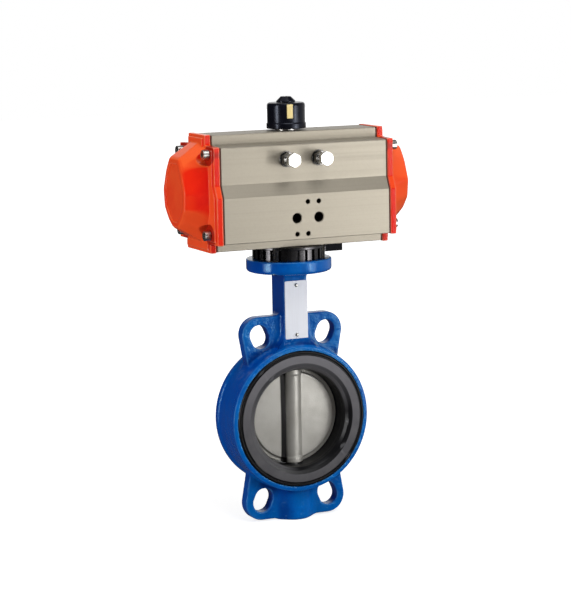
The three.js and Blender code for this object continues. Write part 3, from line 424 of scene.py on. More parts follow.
class Surface:
    """A node material: a Principled shader with helpers for what feeds it."""

    def __init__(self, name, colour, roughness, metallic=0.0, **sockets):
        self.material = bpy.data.materials.new(name)
        self.material.use_nodes = True
        self.tree = self.material.node_tree
        self.shader = self.tree.nodes["Principled BSDF"]
        self.shader.inputs["Base Color"].default_value = (*colour, 1)
        self.shader.inputs["Roughness"].default_value = roughness
        self.shader.inputs["Metallic"].default_value = metallic
        for key, value in sockets.items():
            self.shader.inputs[key.replace("_", " ")].default_value = value
        self.normal = None
        self.coords = self.tree.nodes.new("ShaderNodeTexCoord").outputs["Object"]

    def node(self, kind, **values):
        made = self.tree.nodes.new(kind)
        for key, value in values.items():
            setattr(made, key, value)
        return made

    def link(self, source, target):
        self.tree.links.new(source, target)

    def stretched(self, x, y, z):
        mapping = self.node("ShaderNodeMapping")
        self.link(self.coords, mapping.inputs["Vector"])
        mapping.inputs["Scale"].default_value = (x, y, z)
        return mapping.outputs["Vector"]

    def noise(self, scale, detail=4.0, roughness=0.55, stretch=None):
        made = self.node("ShaderNodeTexNoise")
        self.link(self.stretched(*stretch) if stretch else self.coords, made.inputs["Vector"])
        made.inputs["Scale"].default_value = scale
        made.inputs["Detail"].default_value = detail
        made.inputs["Roughness"].default_value = roughness
        return made.outputs["Fac"]

    def cells(self, scale):
        made = self.node("ShaderNodeTexVoronoi")
        self.link(self.coords, made.inputs["Vector"])
        made.inputs["Scale"].default_value = scale
        return made.outputs["Distance"]

    def spread(self, value, low, high, to_low=0.0, to_high=1.0):
        made = self.node("ShaderNodeMapRange")
        self.link(value, made.inputs["Value"])
        made.inputs["From Min"].default_value = low
        made.inputs["From Max"].default_value = high
        made.inputs["To Min"].default_value = to_low
        made.inputs["To Max"].default_value = to_high
        return made.outputs["Result"]

    def times(self, value, other):
        return math_node(self.tree, "MULTIPLY", value, other)

    def edges(self, low=0.52, high=0.6):
        """Where the surface is convex and sharp."""
        geometry = self.node("ShaderNodeNewGeometry")
        return self.spread(geometry.outputs["Pointiness"], low, high)

    def hollows(self, low=0.48, high=0.42):
        geometry = self.node("ShaderNodeNewGeometry")
        return self.spread(geometry.outputs["Pointiness"], low, high)

    def across_axis(self, skip):
        """Distance from the object's axis in that direction (0 for X, 1 for Y, 2 for Z), in mm."""
        keep = [1000.0] * 3
        keep[skip] = 0.0
        length = self.node("ShaderNodeVectorMath", operation="LENGTH")
        self.link(self.stretched(*keep), length.inputs[0])
        return length.outputs["Value"]

    def along(self, axis):
        """The coordinate along X, Y or Z, in mm."""
        parts = self.node("ShaderNodeSeparateXYZ")
        self.link(self.stretched(1000, 1000, 1000), parts.inputs[0])
        return parts.outputs[axis]

    def facing(self, axis, low=0.02, high=0.5):
        """High where the surface faces along an axis."""
        parts = self.node("ShaderNodeSeparateXYZ")
        geometry = self.node("ShaderNodeNewGeometry")
        self.link(geometry.outputs["Normal"], parts.inputs[0])
        return self.spread(parts.outputs[axis], low, high)

    def near(self, places, radius):
        """High within a radius of lines along X that pass through +-y and a height +- z."""
        y, middle, z = places
        across = math_node(self.tree, "ABSOLUTE", self.along("Y"), 0.0)
        across = math_node(self.tree, "SUBTRACT", across, y)
        up = math_node(self.tree, "SUBTRACT", self.along("Z"), middle)
        up = math_node(self.tree, "SUBTRACT", math_node(self.tree, "ABSOLUTE", up, 0.0), z)
        square = math_node(self.tree, "ADD", self.times(across, across), self.times(up, up))
        away = math_node(self.tree, "SQRT", square, 0.0)
        return self.spread(away, radius + MASK_EDGE, radius - MASK_EDGE)

    def tint(self, share, colour):
        """Mixes a colour into the base where share is high."""
        mix = self.node("ShaderNodeMix", data_type="RGBA")
        base = self.shader.inputs["Base Color"]
        if base.is_linked:
            self.link(base.links[0].from_socket, mix.inputs["A"])
        else:
            mix.inputs["A"].default_value = base.default_value
        mix.inputs["B"].default_value = (*colour, 1)
        self.link(share, mix.inputs["Factor"])
        self.link(mix.outputs["Result"], base)
        return self

    def mottle(self, scale, detail, low, high, share, colour):
        """Mixes a colour in where a noise is high."""
        patches = self.spread(self.noise(scale, detail), low, high)
        return self.tint(self.times(patches, share), colour)

    def wear(self, low, high, share, colour):
        """Mixes a colour in on the sharp edges."""
        return self.tint(self.times(self.edges(low, high), share), colour)

    def rough(self, value, low, high):
        self.link(self.spread(value, 0.3, 0.7, low, high), self.shader.inputs["Roughness"])
        return self

    def bump(self, height, distance, strength=1.0):
        made = self.node("ShaderNodeBump")
        made.inputs["Strength"].default_value = strength
        made.inputs["Distance"].default_value = distance * MM
        self.link(height, made.inputs["Height"])
        if self.normal is not None:
            self.link(self.normal, made.inputs["Normal"])
        self.normal = made.outputs["Normal"]
        self.link(self.normal, self.shader.inputs["Normal"])
        return self


def shade(colour, factor):
    return tuple(min(1.0, c * factor) for c in colour)


# How far the painted shade on the neck's flank reaches from the stem's axis, and the heights between which
# the orange peel fades
SHADED_FLANK_REACH = 25
PEEL_START = 105
PEEL_END = 135
# A paler orange red painted on the caps where light falls on them: painted light.
PAINTED_LIGHT_RED = (1.0, 0.125, 0.028)


def valve_painted_shade_and_light(made, colour, deep):
    """Painted shade and light on the blue paint: darker on faces that face left and lighter on faces that
    face right, and nearly navy on the neck's flank and round the ring's root as painted shade.
    """
    # Painted shade on faces that face left, painted light on faces that face right.
    made.tint(made.times(made.facing("X", -0.1, -0.9), 0.75), deep)
    made.tint(made.times(made.facing("X", 0.0, 0.8), 0.6), shade(colour, 1.35))
    # Painted shade: nearly navy on the neck's flank near the stem's axis, above the ring.
    near_stem = made.spread(made.across_axis(2), SHADED_FLANK_REACH, SHADED_FLANK_REACH - 2)
    shaded_flank = made.times(made.facing("X", -0.3, -0.8), near_stem)
    above_ring = made.spread(made.across_axis(1), RING_RADIUS + 9, RING_RADIUS + 21)
    made.tint(made.times(made.times(shaded_flank, above_ring), 0.7), shade(deep, 0.6))
    # Painted shade: navy in patches round the ring's root, where the lugs and neck join it.
    shaded_root = made.times(
        made.spread(made.across_axis(1), RING_RADIUS + 0.6, RING_RADIUS + 1.6),
        made.spread(made.across_axis(1), RING_RADIUS + 12, RING_RADIUS + 3),
    )
    made.tint(made.times(shaded_root, made.spread(made.noise(45, 3), 0.35, 0.6, 0.2, 0.9)), shade(deep, 0.55))


def cap_painted_light_and_shade(made, colour, deep):
    """Painted light and shade on the red paint: a paler orange red as painted light on faces that face up,
    down and to the ends, and dark painted shade in the screws' pockets.
    """
    # Painted light: faces that face up, down and to either end get the paler red.
    for axis, low, high, share in (
        ("Z", 0.34, 0.5, 1.0), ("Z", -0.05, -0.3, 0.6), ("X", -0.5, -0.98, 0.7), ("X", 0.05, 0.3, 0.8),
    ):
        made.tint(made.times(made.facing(axis, low, high), share), PAINTED_LIGHT_RED)
    # The end face takes back some of the base red in patches, breaking up its painted light.
    last = -CAP_FACE - CAP_DEPTH
    end = made.spread(made.along("X"), last + 1, last + 3, 1.0, 0.0)
    end = made.times(end, made.facing("X", -0.9, -0.99))
    made.tint(made.times(end, made.spread(made.noise(30, 3), 0.35, 0.65, 0.0, 0.5)), colour)
    # Painted shade: dark in the screws' pockets.
    pocket_shade = made.near((SCREW_Y, ACTUATOR_BASE + AXIS_HEIGHT, SCREW_Z), POCKET_RADIUS)
    made.tint(made.times(pocket_shade, 0.85), shade(deep, 0.45))


def enamel(name, colour, deep, pale, grain, gloss, glint, painted_light_and_shade):
    """Thick gloss paint over a casting: soft pits and orange peel; darker in the hollows as painted shade,
    paler on the sharp edges as a painted highlight that also stands for thin, worn paint; the function passed
    in paints further light and shade.
    """
    made = Surface(
        name, colour, 0.28, Specular_IOR_Level=gloss, Specular_Tint=(*glint, 1),
        Coat_Weight=0.6 * gloss, Coat_Roughness=0.07, Coat_IOR=1.4,
    )
    made.mottle(22, 3, 0.42, 0.66, 0.7, deep)
    made.mottle(90, 5, 0.5, 0.72, 0.45, shade(colour, 1.5))
    painted_light_and_shade(made, colour, deep)
    # Painted shade: a darker copy of the paint in the hollows and creases.
    made.tint(made.times(made.hollows(), 0.55), shade(deep, 0.45))
    # Painted highlight on the sharp edges, in broken patches, that also stands for thin, worn paint.
    made.tint(made.times(made.edges(), made.spread(made.noise(110, 4), 0.35, 0.6, 0.2, 0.9)), pale)
    made.rough(made.noise(60, 4), 0.11, 0.22)
    peel = made.spread(made.along("Z"), PEEL_END, PEEL_START, 0.2, 1.0)
    made.bump(made.times(made.noise(110, 3), peel), 1.5 * grain)
    made.bump(made.times(made.noise(330, 4), peel), 0.3 * grain)
    return made.material


def make_surfaces():
    made = {}
    made["blue_enamel"] = enamel(
        "BlueEnamel", (0.0, 0.125, 0.47), (0.0, 0.045, 0.33), (0.12, 0.42, 0.74),
        1.0, 0.28, (0.35, 0.85, 1.0), valve_painted_shade_and_light,
    )
    made["cap_paint"] = enamel(
        "CapPaint", (0.86, 0.022, 0.006), (0.82, 0.008, 0.008), (1.0, 0.42, 0.30),
        0.22, 0.11, (1.0, 0.9, 0.85), cap_painted_light_and_shade,
    )

    s = Surface("AnodisedExtrusion", (0.37, 0.333, 0.267), 0.45, 0.5)
    s.tint(s.times(s.spread(s.noise(9, 4, 0.6, stretch=(0.5, 1, 5)), 0.4, 0.68), 0.22), (0.41, 0.37, 0.30))
    lines = s.noise(7, 6, 0.7, stretch=(0.25, 70, 70))
    s.tint(s.times(s.spread(lines, 0.48, 0.75), 0.3), (0.32, 0.287, 0.23))
    s.mottle(420, 3, 0.45, 0.7, 0.16, (0.30, 0.272, 0.225))
    # Painted shade: nearly black inside the ports and the pattern's screw holes, where no light reaches.
    inside = s.spread(s.along("Y"), 1.0 - PAD_FACE, 1.6 - PAD_FACE)
    inside = s.times(inside, s.spread(s.along("Y"), -HOLE_FLOOR, -HOLE_FLOOR - 0.5))
    low = ACTUATOR_BASE + PORT_HEIGHT - PATTERN_REACH
    high = ACTUATOR_BASE + PORT_HEIGHT + PATTERN_REACH
    inside = s.times(inside, s.spread(s.along("Z"), low, low + 0.5))
    inside = s.times(inside, s.spread(s.along("Z"), high, high - 0.5))
    s.tint(inside, (0.012, 0.011, 0.010))
    s.rough(lines, 0.42, 0.5)
    s.bump(lines, 0.035)
    s.bump(s.noise(1500, 2), 0.012)
    made["anodised_aluminium"] = s.material

    s = Surface("CastAluminium", (0.56, 0.56, 0.55), 0.42, 0.9)
    s.mottle(60, 5, 0.45, 0.7, 0.5, (0.42, 0.42, 0.42))
    s.bump(s.noise(420, 3), 0.08)
    made["cast_aluminium"] = s.material

    s = Surface("BlastedStainless", (0.53, 0.515, 0.475), 0.42, 0.5)
    s.mottle(34, 5, 0.42, 0.70, 1.0, (0.44, 0.425, 0.385))
    # Painted shade: dark in the hollows and creases.
    s.tint(s.times(s.hollows(), 0.8), (0.09, 0.08, 0.07))
    s.wear(0.51, 0.57, 0.7, (0.7, 0.68, 0.63))
    # Painted shadow: a nearly black band on both faces of the wing just left of the hub, where the hub's
    # shade falls.
    groove = s.times(s.spread(s.along("X"), -15.0, -13.8), s.spread(s.along("X"), -7.6, -9.2))
    s.tint(groove, (0.006, 0.005, 0.005))
    s.rough(s.noise(120, 4), 0.38, 0.52)
    s.bump(s.noise(620, 4), 0.12)
    made["cast_stainless"] = s.material

    s = Surface("TurnedSteel", (0.50, 0.49, 0.47), 0.3, 1.0)
    s.mottle(120, 4, 0.5, 0.75, 0.5, (0.36, 0.34, 0.31))
    s.rough(s.noise(300, 3), 0.22, 0.4)
    s.bump(s.noise(700, 2, stretch=(1, 1, 4)), 0.04)
    made["turned_steel"] = s.material

    s = Surface("BrightChrome", (0.82, 0.81, 0.79), 0.16, 1.0)
    s.mottle(180, 3, 0.5, 0.8, 0.3, (0.70, 0.69, 0.67))
    s.rough(s.noise(90, 3), 0.12, 0.22)
    s.bump(s.noise(900, 2), 0.003)
    made["bright_chrome"] = s.material

    s = Surface("DarkPlating", (0.15, 0.145, 0.14), 0.24, 1.0)
    s.mottle(180, 3, 0.5, 0.8, 0.4, (0.08, 0.078, 0.075))
    s.wear(0.52, 0.58, 0.5, (0.5, 0.49, 0.47))
    s.rough(s.noise(90, 3), 0.18, 0.3)
    s.bump(s.noise(900, 2), 0.01)
    made["dark_plating"] = s.material

    s = Surface("LinerRubber", (0.004, 0.004, 0.005), 0.34, Specular_IOR_Level=0.2)
    # The face between the flare and the groove is a lighter, matter grey: partly a ground face, partly
    # painted light where it faces the front.
    ground_and_lit_face = s.times(
        s.spread(s.across_axis(1), FLARE_END - 0.4, FLARE_END + 0.4),
        s.spread(s.across_axis(1), GROOVE_INNER, GROOVE_INNER - 0.4),
    )
    s.tint(ground_and_lit_face, (0.085, 0.083, 0.090))
    s.tint(s.times(ground_and_lit_face, s.spread(s.noise(40, 5), 0.42, 0.7)), (0.115, 0.112, 0.118))
    # Painted light: the face is lighter towards the top.
    s.tint(s.times(ground_and_lit_face, s.spread(s.along("Z"), -20.0, LIP_RADIUS, 0.0, 0.8)), (0.19, 0.185, 0.20))
    # Painted light: a paler grey on the flare where it faces right and where it faces down.
    flare = s.times(
        s.spread(s.across_axis(1), BORE_RADIUS + 0.6, BORE_RADIUS + 1.4),
        s.spread(s.across_axis(1), FLARE_END + 0.6, FLARE_END - 0.2),
    )
    lit = math_node(s.tree, "MAXIMUM", s.facing("X", 0.03, 0.3), s.facing("Z", -0.03, -0.3))
    s.tint(s.times(flare, lit), (0.088, 0.086, 0.092))
    s.wear(0.52, 0.58, 0.35, (0.2, 0.2, 0.21))
    s.link(s.spread(ground_and_lit_face, 0, 1, 0.3, 0.55), s.shader.inputs["Roughness"])
    s.bump(s.noise(520, 3), 0.05)
    made["seat_rubber"] = s.material

    s = Surface("SealRubber", (0.02, 0.02, 0.021), 0.6)
    s.tint(s.times(s.noise(200, 4), 0.5), (0.035, 0.034, 0.035))
    s.bump(s.noise(500, 3), 0.05)
    made["seal_rubber"] = s.material

    s = Surface(
        "BlackMoulding", (0.003, 0.003, 0.006), 0.3, Specular_IOR_Level=0.24, Specular_Tint=(0.75, 0.82, 1, 1)
    )
    s.mottle(50, 4, 0.4, 0.7, 0.6, (0.007, 0.008, 0.014))
    s.wear(0.53, 0.62, 0.5, (0.07, 0.07, 0.08))
    s.rough(s.noise(150, 3), 0.16, 0.28)
    s.bump(s.noise(900, 3), 0.04)
    made["black_plastic"] = s.material

    s = Surface("BlackPlate", (0.075, 0.072, 0.075), 0.24, 1.0)
    s.mottle(50, 4, 0.4, 0.7, 0.6, (0.03, 0.029, 0.03))
    s.tint(s.spread(s.across_axis(2), DECK_RADIUS - 0.1, DECK_RADIUS + 0.9), (0.003, 0.003, 0.0035))
    s.rough(s.noise(150, 3), 0.2, 0.32)
    s.bump(s.noise(900, 3), 0.04)
    made["black_plate"] = s.material

    s = Surface("YellowInsert", (0.95, 0.76, 0.32), 0.42)
    s.mottle(140, 4, 0.4, 0.7, 0.5, (0.95, 0.80, 0.48))
    s.bump(s.noise(700, 3), 0.03)
    made["pale_yellow_plastic"] = s.material

    s = Surface("Acetal", (0.68, 0.64, 0.54), 0.45, Subsurface_Weight=0.05)
    s.tint(s.times(s.noise(120, 4), 0.3), (0.8, 0.78, 0.7))
    s.bump(s.noise(500, 3), 0.03)
    made["bearing_plastic"] = s.material

    s = Surface("SinteredBronze", (0.45, 0.27, 0.11), 0.45, 0.9)
    s.mottle(160, 5, 0.45, 0.7, 0.6, (0.28, 0.16, 0.07))
    s.bump(s.cells(1400), 0.05)
    made["bushing_bronze"] = s.material

    s = Surface("TagMetal", (0.68, 0.70, 0.77), 0.42, 0.2)
    grain = s.noise(30, 5, 0.7, stretch=(40, 40, 1.2))
    s.tint(s.times(s.spread(grain, 0.45, 0.75), 0.4), (0.60, 0.61, 0.64))
    s.wear(0.52, 0.58, 0.4, (0.95, 0.95, 0.95))
    s.rough(grain, 0.34, 0.5)
    s.bump(grain, 0.03)
    made["tag_metal"] = s.material

    s = Surface("GasketFibre", (0.09, 0.022, 0.014), 0.7)
    s.mottle(300, 4, 0.45, 0.7, 0.6, (0.14, 0.05, 0.03))
    s.bump(s.noise(900, 3), 0.04)
    made["gasket"] = s.material
    return made


SURFACES = make_surfaces()


def dress(obj, body, slot, *nodes, surface=None):
    obj.data.materials.clear()
    obj.data.materials.append(SURFACES[surface or slot])
    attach(obj, body)
    if nodes:
        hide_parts(*nodes)
    return obj


# Valve

def lug_points(x, z, radius):
    out = math.atan2(z, x)
    dx, dz = math.cos(out) * SLOT_TRAVEL / 2, math.sin(out) * SLOT_TRAVEL / 2
    return circle(radius, SMALL, x - dx, z - dz) + circle(radius, SMALL, x + dx, z + dz)


# Walls, edges and fillets of the valve's casting
RIM_RISE = 1.6
RIM_WALL = 7.4
RIM_WIDTH = 6.5
RING_EDGE = 1.0
RIM_EDGE = 1.2
RIM_BLEND = 2.4
LUG_EDGE = 1.6
LUG_BLEND = 5.0
SLOT_EDGE = 1.2
NECK_EDGE = 2.2
NECK_ROOT = 64
NECK_FLARE = 6
NECK_FLARE_HEIGHT = 16
NECK_FLARE_IN_DEPTH = 0.6
ROOT_BLEND = 7.0
FLANGE_TOP_EDGE = 1.1
FLANGE_LOWER_EDGE = 3.6
FOOT_EDGE = 3.0
FOOT_FLOOR = 6
LIP_GAP = 0.3
BOLT_HOLE = 4.3
BOLT_HOLE_BASE = 100
RECESS_RADIUS = 6.8
RECESS_BASE = 136
RECESS_TOP = 158.8
RECESS_EDGE = 0.8


def valve_field(x, y, z):
    r = np.hypot(x, z)
    depth = np.abs(y)
    core = corner_round(band(r, RING_INNER, RING_RADIUS - RIM_RISE), depth - RING_HALF_WIDTH, RING_EDGE)
    rims = corner_round(
        band(r, RING_RADIUS - RIM_WALL, RING_RADIUS),
        band(depth, RING_HALF_WIDTH - RIM_WIDTH, RING_HALF_WIDTH),
        RIM_EDGE,
    )
    body = soft_join(core, rims, RIM_BLEND)
    end = SLOT_RADIUS + LUG_WALL
    for side in (1, -1):
        outline = hull(
            lug_points(LUG_X, side * LUG_Z, end)
            + lug_points(-LUG_X, side * LUG_Z, end)
            + circle(LUG_ROOT_RADIUS, SMALL)
        )
        plate = corner_round(inside_hull(outline, x, z), depth - LUG_HALF_THICKNESS, LUG_EDGE)
        body = soft_join(body, plate, LUG_BLEND)
    flare = NECK_FLARE * np.clip(1 - (z - RING_RADIUS) / NECK_FLARE_HEIGHT, 0, 1) ** 2
    neck = corner_round(
        np.abs(x) - NECK_HALF_WIDTH - flare,
        depth - NECK_HALF_DEPTH - NECK_FLARE_IN_DEPTH * flare,
        NECK_EDGE,
    )
    neck = np.maximum(neck, np.maximum(NECK_ROOT - z, z - (FLANGE_TOP - 2)))
    body = soft_join(body, neck, ROOT_BLEND)
    from_stem = np.hypot(x, y)
    middle = FLANGE_TOP - FLANGE_THICKNESS / 2
    across = from_stem - FLANGE_RADIUS
    thick = band(z, FLANGE_TOP - FLANGE_THICKNESS, FLANGE_TOP)
    upper = corner_round(across, thick, FLANGE_TOP_EDGE)
    lower = corner_round(across, thick, FLANGE_LOWER_EDGE)
    body = soft_join(body, np.where(z < middle, lower, upper), ROOT_BLEND)
    foot = corner_round(from_stem - FOOT_RADIUS, np.maximum(FOOT_BOTTOM - z, z + NECK_ROOT), FOOT_EDGE)
    body = soft_join(body, foot, ROOT_BLEND)
    body = np.maximum(body, FOOT_BOTTOM - z)
    body = np.maximum(body, z - FLANGE_TOP)
    body = np.maximum(body, RING_INNER - r)
    body = np.maximum(body, -np.maximum(r - LIP_RADIUS - LIP_GAP, LIP_BACK - LIP_GAP - depth))
    for sx in (1, -1):
        for sz in (1, -1):
            out = math.atan2(sz * LUG_Z, sx * LUG_X)
            ux, uz = math.cos(out), math.sin(out)
            px, pz = x - sx * LUG_X, z - sz * LUG_Z
            along = np.clip(px * ux + pz * uz, -SLOT_TRAVEL / 2, SLOT_TRAVEL / 2)
            slot = np.hypot(px - along * ux, pz - along * uz) - SLOT_RADIUS
            body = soft_cut(body, slot, SLOT_EDGE)
            shank = np.hypot(x - sx * BOLT_PLACE, y - sz * BOLT_PLACE)
            body = np.maximum(body, -np.maximum(shank - BOLT_HOLE, BOLT_HOLE_BASE - z))
            recess = np.maximum(shank - RECESS_RADIUS, np.maximum(z - RECESS_TOP, RECESS_BASE - z))
            body = soft_cut(body, recess, RECESS_EDGE)
    return np.maximum(body, -np.maximum(from_stem - STEM_BORE, FOOT_BOTTOM + FOOT_FLOOR - z))


def build_valve():
    margin = 2
    casting = skin(
        "valve_casting",
        valve_field,
        (-RING_RADIUS - margin, -FLANGE_RADIUS - margin, FOOT_BOTTOM - margin),
        (RING_RADIUS + margin, FLANGE_RADIUS + margin, FLANGE_TOP + margin),
        1.0,
    )
    smooth(casting, 50)
    dress(casting, "housing", "blue_enamel", "valve_body")


# The seat's section from the bore outward: radius, depth below the face and rounding
SEAT_SECTION = [
    (BORE_RADIUS, 9.0, 2),
    (BORE_RADIUS + 0.7, 4.8, 2.5),
    (BORE_RADIUS + 3.3, 1.0, 1.6),
    (BORE_RADIUS + 6.2, 0.35, 1.2),
    (FLARE_END, 0, 0.8),
    (GROOVE_INNER, 0, 0.5),
    (GROOVE_INNER + 0.6, 1.1, 0.4),
    (GROOVE_OUTER - 0.6, 1.1, 0.4),
    (GROOVE_OUTER, 0.2, 0.5),
    (LIP_RADIUS - 0.8, 0.2, 0.8),
    (LIP_RADIUS, 1.2, 0.5),
    (LIP_RADIUS, LIP_FACE - LIP_BACK, 0.3),
    (RING_INNER - LIP_GAP, LIP_FACE - LIP_BACK, 0.4),
]
SOCKET_RADIUS = 7.3


def build_seat():
    half = [(radius, LIP_FACE - drop) for radius, drop, _ in SEAT_SECTION]
    radii = [rounding for _, _, rounding in SEAT_SECTION]
    lower = [(r, -h) for r, h in half]
    profile = softened(lower + half[::-1], radii + radii[::-1], 4)
    seat = place(lathe("rubber_liner", profile, FINE), turn=TO_FRONT)
    carve(seat, [prism("seat_hole", circle(SOCKET_RADIUS, TINY), -RING_RADIUS, RING_RADIUS)])
    smooth(seat, 38)
    dress(seat, "housing", "seat_rubber", "valve_seat")


# The disc thins from its hub to its rim, where it steps down to a sharp edge
DISC_RADIUS = 49.45
DISC_SPHERE = 49.68
DISC_HALF_AT_HUB = 5.6
DISC_TAPER = 1.4
DISC_TAPER_LENGTH = 37.3
DISC_STEP = 1.9
DISC_STEP_RADIUS = 44.6
DISC_STEP_LENGTH = 1.2
HUB_RADIUS = 10.6
HUB_HALF_HEIGHT = 48.4
HUB_WAIST = 0.7
HUB_WAIST_END = 43.6
HUB_WAIST_LENGTH = 1.5
SOCKET_START = 18
PIN_PLACE = 33
PIN_HOLE = 2.7
PIN_DEPTH = 7.6


def disc_field(x, y, z):
    r = np.hypot(x, z)
    depth = np.abs(y)
    taper = DISC_TAPER * np.clip((r - HUB_RADIUS) / DISC_TAPER_LENGTH, 0, 1)
    drop = DISC_STEP * np.clip((r - DISC_STEP_RADIUS) / DISC_STEP_LENGTH, 0, 1)
    plate = corner_round(r - DISC_RADIUS, depth - (DISC_HALF_AT_HUB - taper - drop), 1.0)
    from_stem = np.hypot(x, y)
    waist = HUB_WAIST * np.clip((HUB_WAIST_END - np.abs(z)) / HUB_WAIST_LENGTH, 0, 1)
    hub = corner_round(from_stem - HUB_RADIUS + waist, np.abs(z) - HUB_HALF_HEIGHT, 0.7)
    body = soft_join(plate, hub, 0.9)
    body = np.maximum(body, np.sqrt(x * x + y * y + z * z) - DISC_SPHERE)
    body = np.maximum(body, -np.maximum(from_stem - SOCKET_RADIUS, SOCKET_START - np.abs(z)))
    for side in (1, -1):
        pin = np.maximum(np.hypot(x, z - side * PIN_PLACE) - PIN_HOLE, -PIN_DEPTH - y)
        body = np.maximum(body, -pin)
    return body


def build_disc():
    half = math.ceil(DISC_RADIUS) + 1
    depth = math.ceil(HUB_RADIUS) + 1
    step = 0.7
    disc = skin("disc_casting", disc_field, (-half, -depth, -half), (half, depth, half), step)
    smooth(disc, 40)
    dress(disc, "drive", "cast_stainless", "disc")


# The notched plate: a toothed sleeve under a round deck, with a tab on its right
NOTCHES = 26
TOOTH_TIP = 37
TOOTH_ROOT = 34
TOOTH_SHARE = 0.55
SLEEVE_HEIGHT = 11.5
DECK_BASE = 11
TAB_START = 31
TAB_END = 57.3
TAB_HALF_WIDTH = 8.5
TAB_BASE = 4.1
STEM_WAY = 14.5


def bolt_places():
    return [(x, y) for x in (BOLT_PLACE, -BOLT_PLACE) for y in (BOLT_PLACE, -BOLT_PLACE)]


def build_plate():
    outline = []
    for i in range(NOTCHES):
        start = 2 * math.pi * i / NOTCHES
        end = start + 2 * math.pi * TOOTH_SHARE / NOTCHES
        after = start + 2 * math.pi / NOTCHES
        for radius, low, high in ((TOOTH_TIP, start, end), (TOOTH_ROOT, end, after)):
            for a in np.linspace(low, high, 5):
                outline.append((radius * math.cos(a), radius * math.sin(a)))
    sleeve = prism("plate_sleeve", outline, 0, SLEEVE_HEIGHT)
    profile = softened(
        [(0, DECK_BASE), (DECK_RADIUS, DECK_BASE), (DECK_RADIUS, PLATE_THICKNESS), (0, PLATE_THICKNESS)],
        [0, 0.6, 0.6, 0], 3, closed=False,
    )
    deck = lathe("plate_deck", profile, MEDIUM, closed=False)
    half = TAB_HALF_WIDTH
    corners = [(TAB_START, -half), (TAB_END, -half), (TAB_END, half), (TAB_START, half)]
    tab = prism("plate_tab", softened(corners, [0, 1.5, 1.5, 0], 4), TAB_BASE, PLATE_THICKNESS)
    whole = carve(sleeve, [deck, tab], "UNION")
    top = PLATE_THICKNESS + 1
    holes = [prism("stem_hole", circle(STEM_WAY, SMALL), -1, top)]
    for x, y in bolt_places():
        holes.append(prism("bolt_hole", circle(BOLT_HOLE, TINY, x, y), -1, top))
    carve(whole, holes)
    bevelled(whole, 0.35, 2)
    whole.name = "notched_mounting_plate"
    place(whole, z=PLATE_BASE)
    crisp(whole)
    dress(whole, "housing", "black_plastic", "notched_plate", surface="black_plate")


# The bare tag on the neck, and its two rivets
TAG_MIDDLE = 111.5
TAG_HALF_WIDTH = 12.5
TAG_HALF_HEIGHT = 30
TAG_BACK = 16.3
TAG_FACE = 17.1
RIVET_PLACE = 25.5
RIVET_START = 11.3
RIVET_SHANK = 1
RIVET_HEAD = 1.9


def build_tag():
    w, h = TAG_HALF_WIDTH, TAG_HALF_HEIGHT
    tag = prism("bare_tag", softened([(-w, -h), (w, -h), (w, h), (-w, h)], 1.5, 5), TAG_BACK, TAG_FACE)
    holes = []
    for y in (-RIVET_PLACE, RIVET_PLACE):
        holes.append(prism("rivet_hole", circle(1.3, TINY, 0, y), TAG_BACK - 1, TAG_FACE + 1))
    carve(tag, holes)
    bevelled(tag, 0.15, 2)
    place(tag, z=TAG_MIDDLE, turn=TO_FRONT)
    crisp(tag)
    dress(tag, "housing", "tag_metal", "tag_plate")
    top = TAG_FACE + 1.4
    profile = softened(
        [
            (0, RIVET_START), (RIVET_SHANK, RIVET_START), (RIVET_SHANK, TAG_FACE + 0.3),
            (RIVET_HEAD, TAG_FACE + 0.3), (1.75, TAG_FACE + 0.9), (0.9, top), (0, top),
        ],
        [0, 0, 0, 0.2, 0.4, 0.5, 0], 3, closed=False,
    )
    for name, side in (("lower", -1), ("upper", 1)):
        rivet = lathe(f"rivet_{name}", profile, TINY, closed=False)
        place(rivet, z=TAG_MIDDLE + side * RIVET_PLACE, turn=TO_FRONT)
        smooth(rivet, 50)
        dress(rivet, "housing", "turned_steel", f"tag_rivet_{name}")


# Screws

def threaded(name, radius, pitch, low, high, depth=0.5):
    """A rod along Z with a real helical thread."""
    around, per_turn = TINY, 6
    rows = int((high - low) / pitch * per_turn)
    verts, faces = [], []
    for j in range(rows + 1):
        z = low + (high - low) * j / rows
        for i in range(around):
            phase = ((z - low) / pitch - i / around) % 1
            groove = abs(2 * phase - 1)
            r = radius - depth * groove - (0.4 if j in (0, rows) else 0)
            a = 2 * math.pi * i / around
            verts.append((r * math.cos(a), r * math.sin(a), z))
    for j in range(rows):
        for i in range(around):
            k = (i + 1) % around
            faces.append((j * around + i, j * around + k, (j + 1) * around + k, (j + 1) * around + i))
    faces.append(tuple(range(around - 1, -1, -1)))
    faces.append(tuple(rows * around + i for i in range(around)))
    return new_object(name, verts, faces)


def socket_head(name, radius, height, across, depth):
    profile = softened(
        [(0, 0), (radius, 0), (radius, height), (0, height)], [0, 0.25, radius / 9, 0], 4, closed=False
    )
    head = lathe(name, profile, SMALL, closed=False)
    carve(head, [prism("socket", hexagon(across), height - depth, height + 1)])
    return bevelled(head, 0.12, 2, 50)


def chamfered_hexagon(name, across, low, high, both):
    """A hexagon whose corners are turned away at its ends."""
    corner = across / math.sqrt(3)
    drop = (corner - across / 2) * 0.6
    profile = [
        (0, low),
        (across / 2 if both else corner + 1, low),
        (corner + 0.05, low + (drop if both else 0)),
        (corner + 0.05, high - drop),
        (across / 2 + 0.35, high),
        (0, high),
    ]
    blank = prism(name, hexagon(across), low - 1, high + 1)
    carve(blank, [lathe("turned", profile, SMALL, closed=False)], "INTERSECT")
    return bevelled(blank, 0.18, 2, 25)


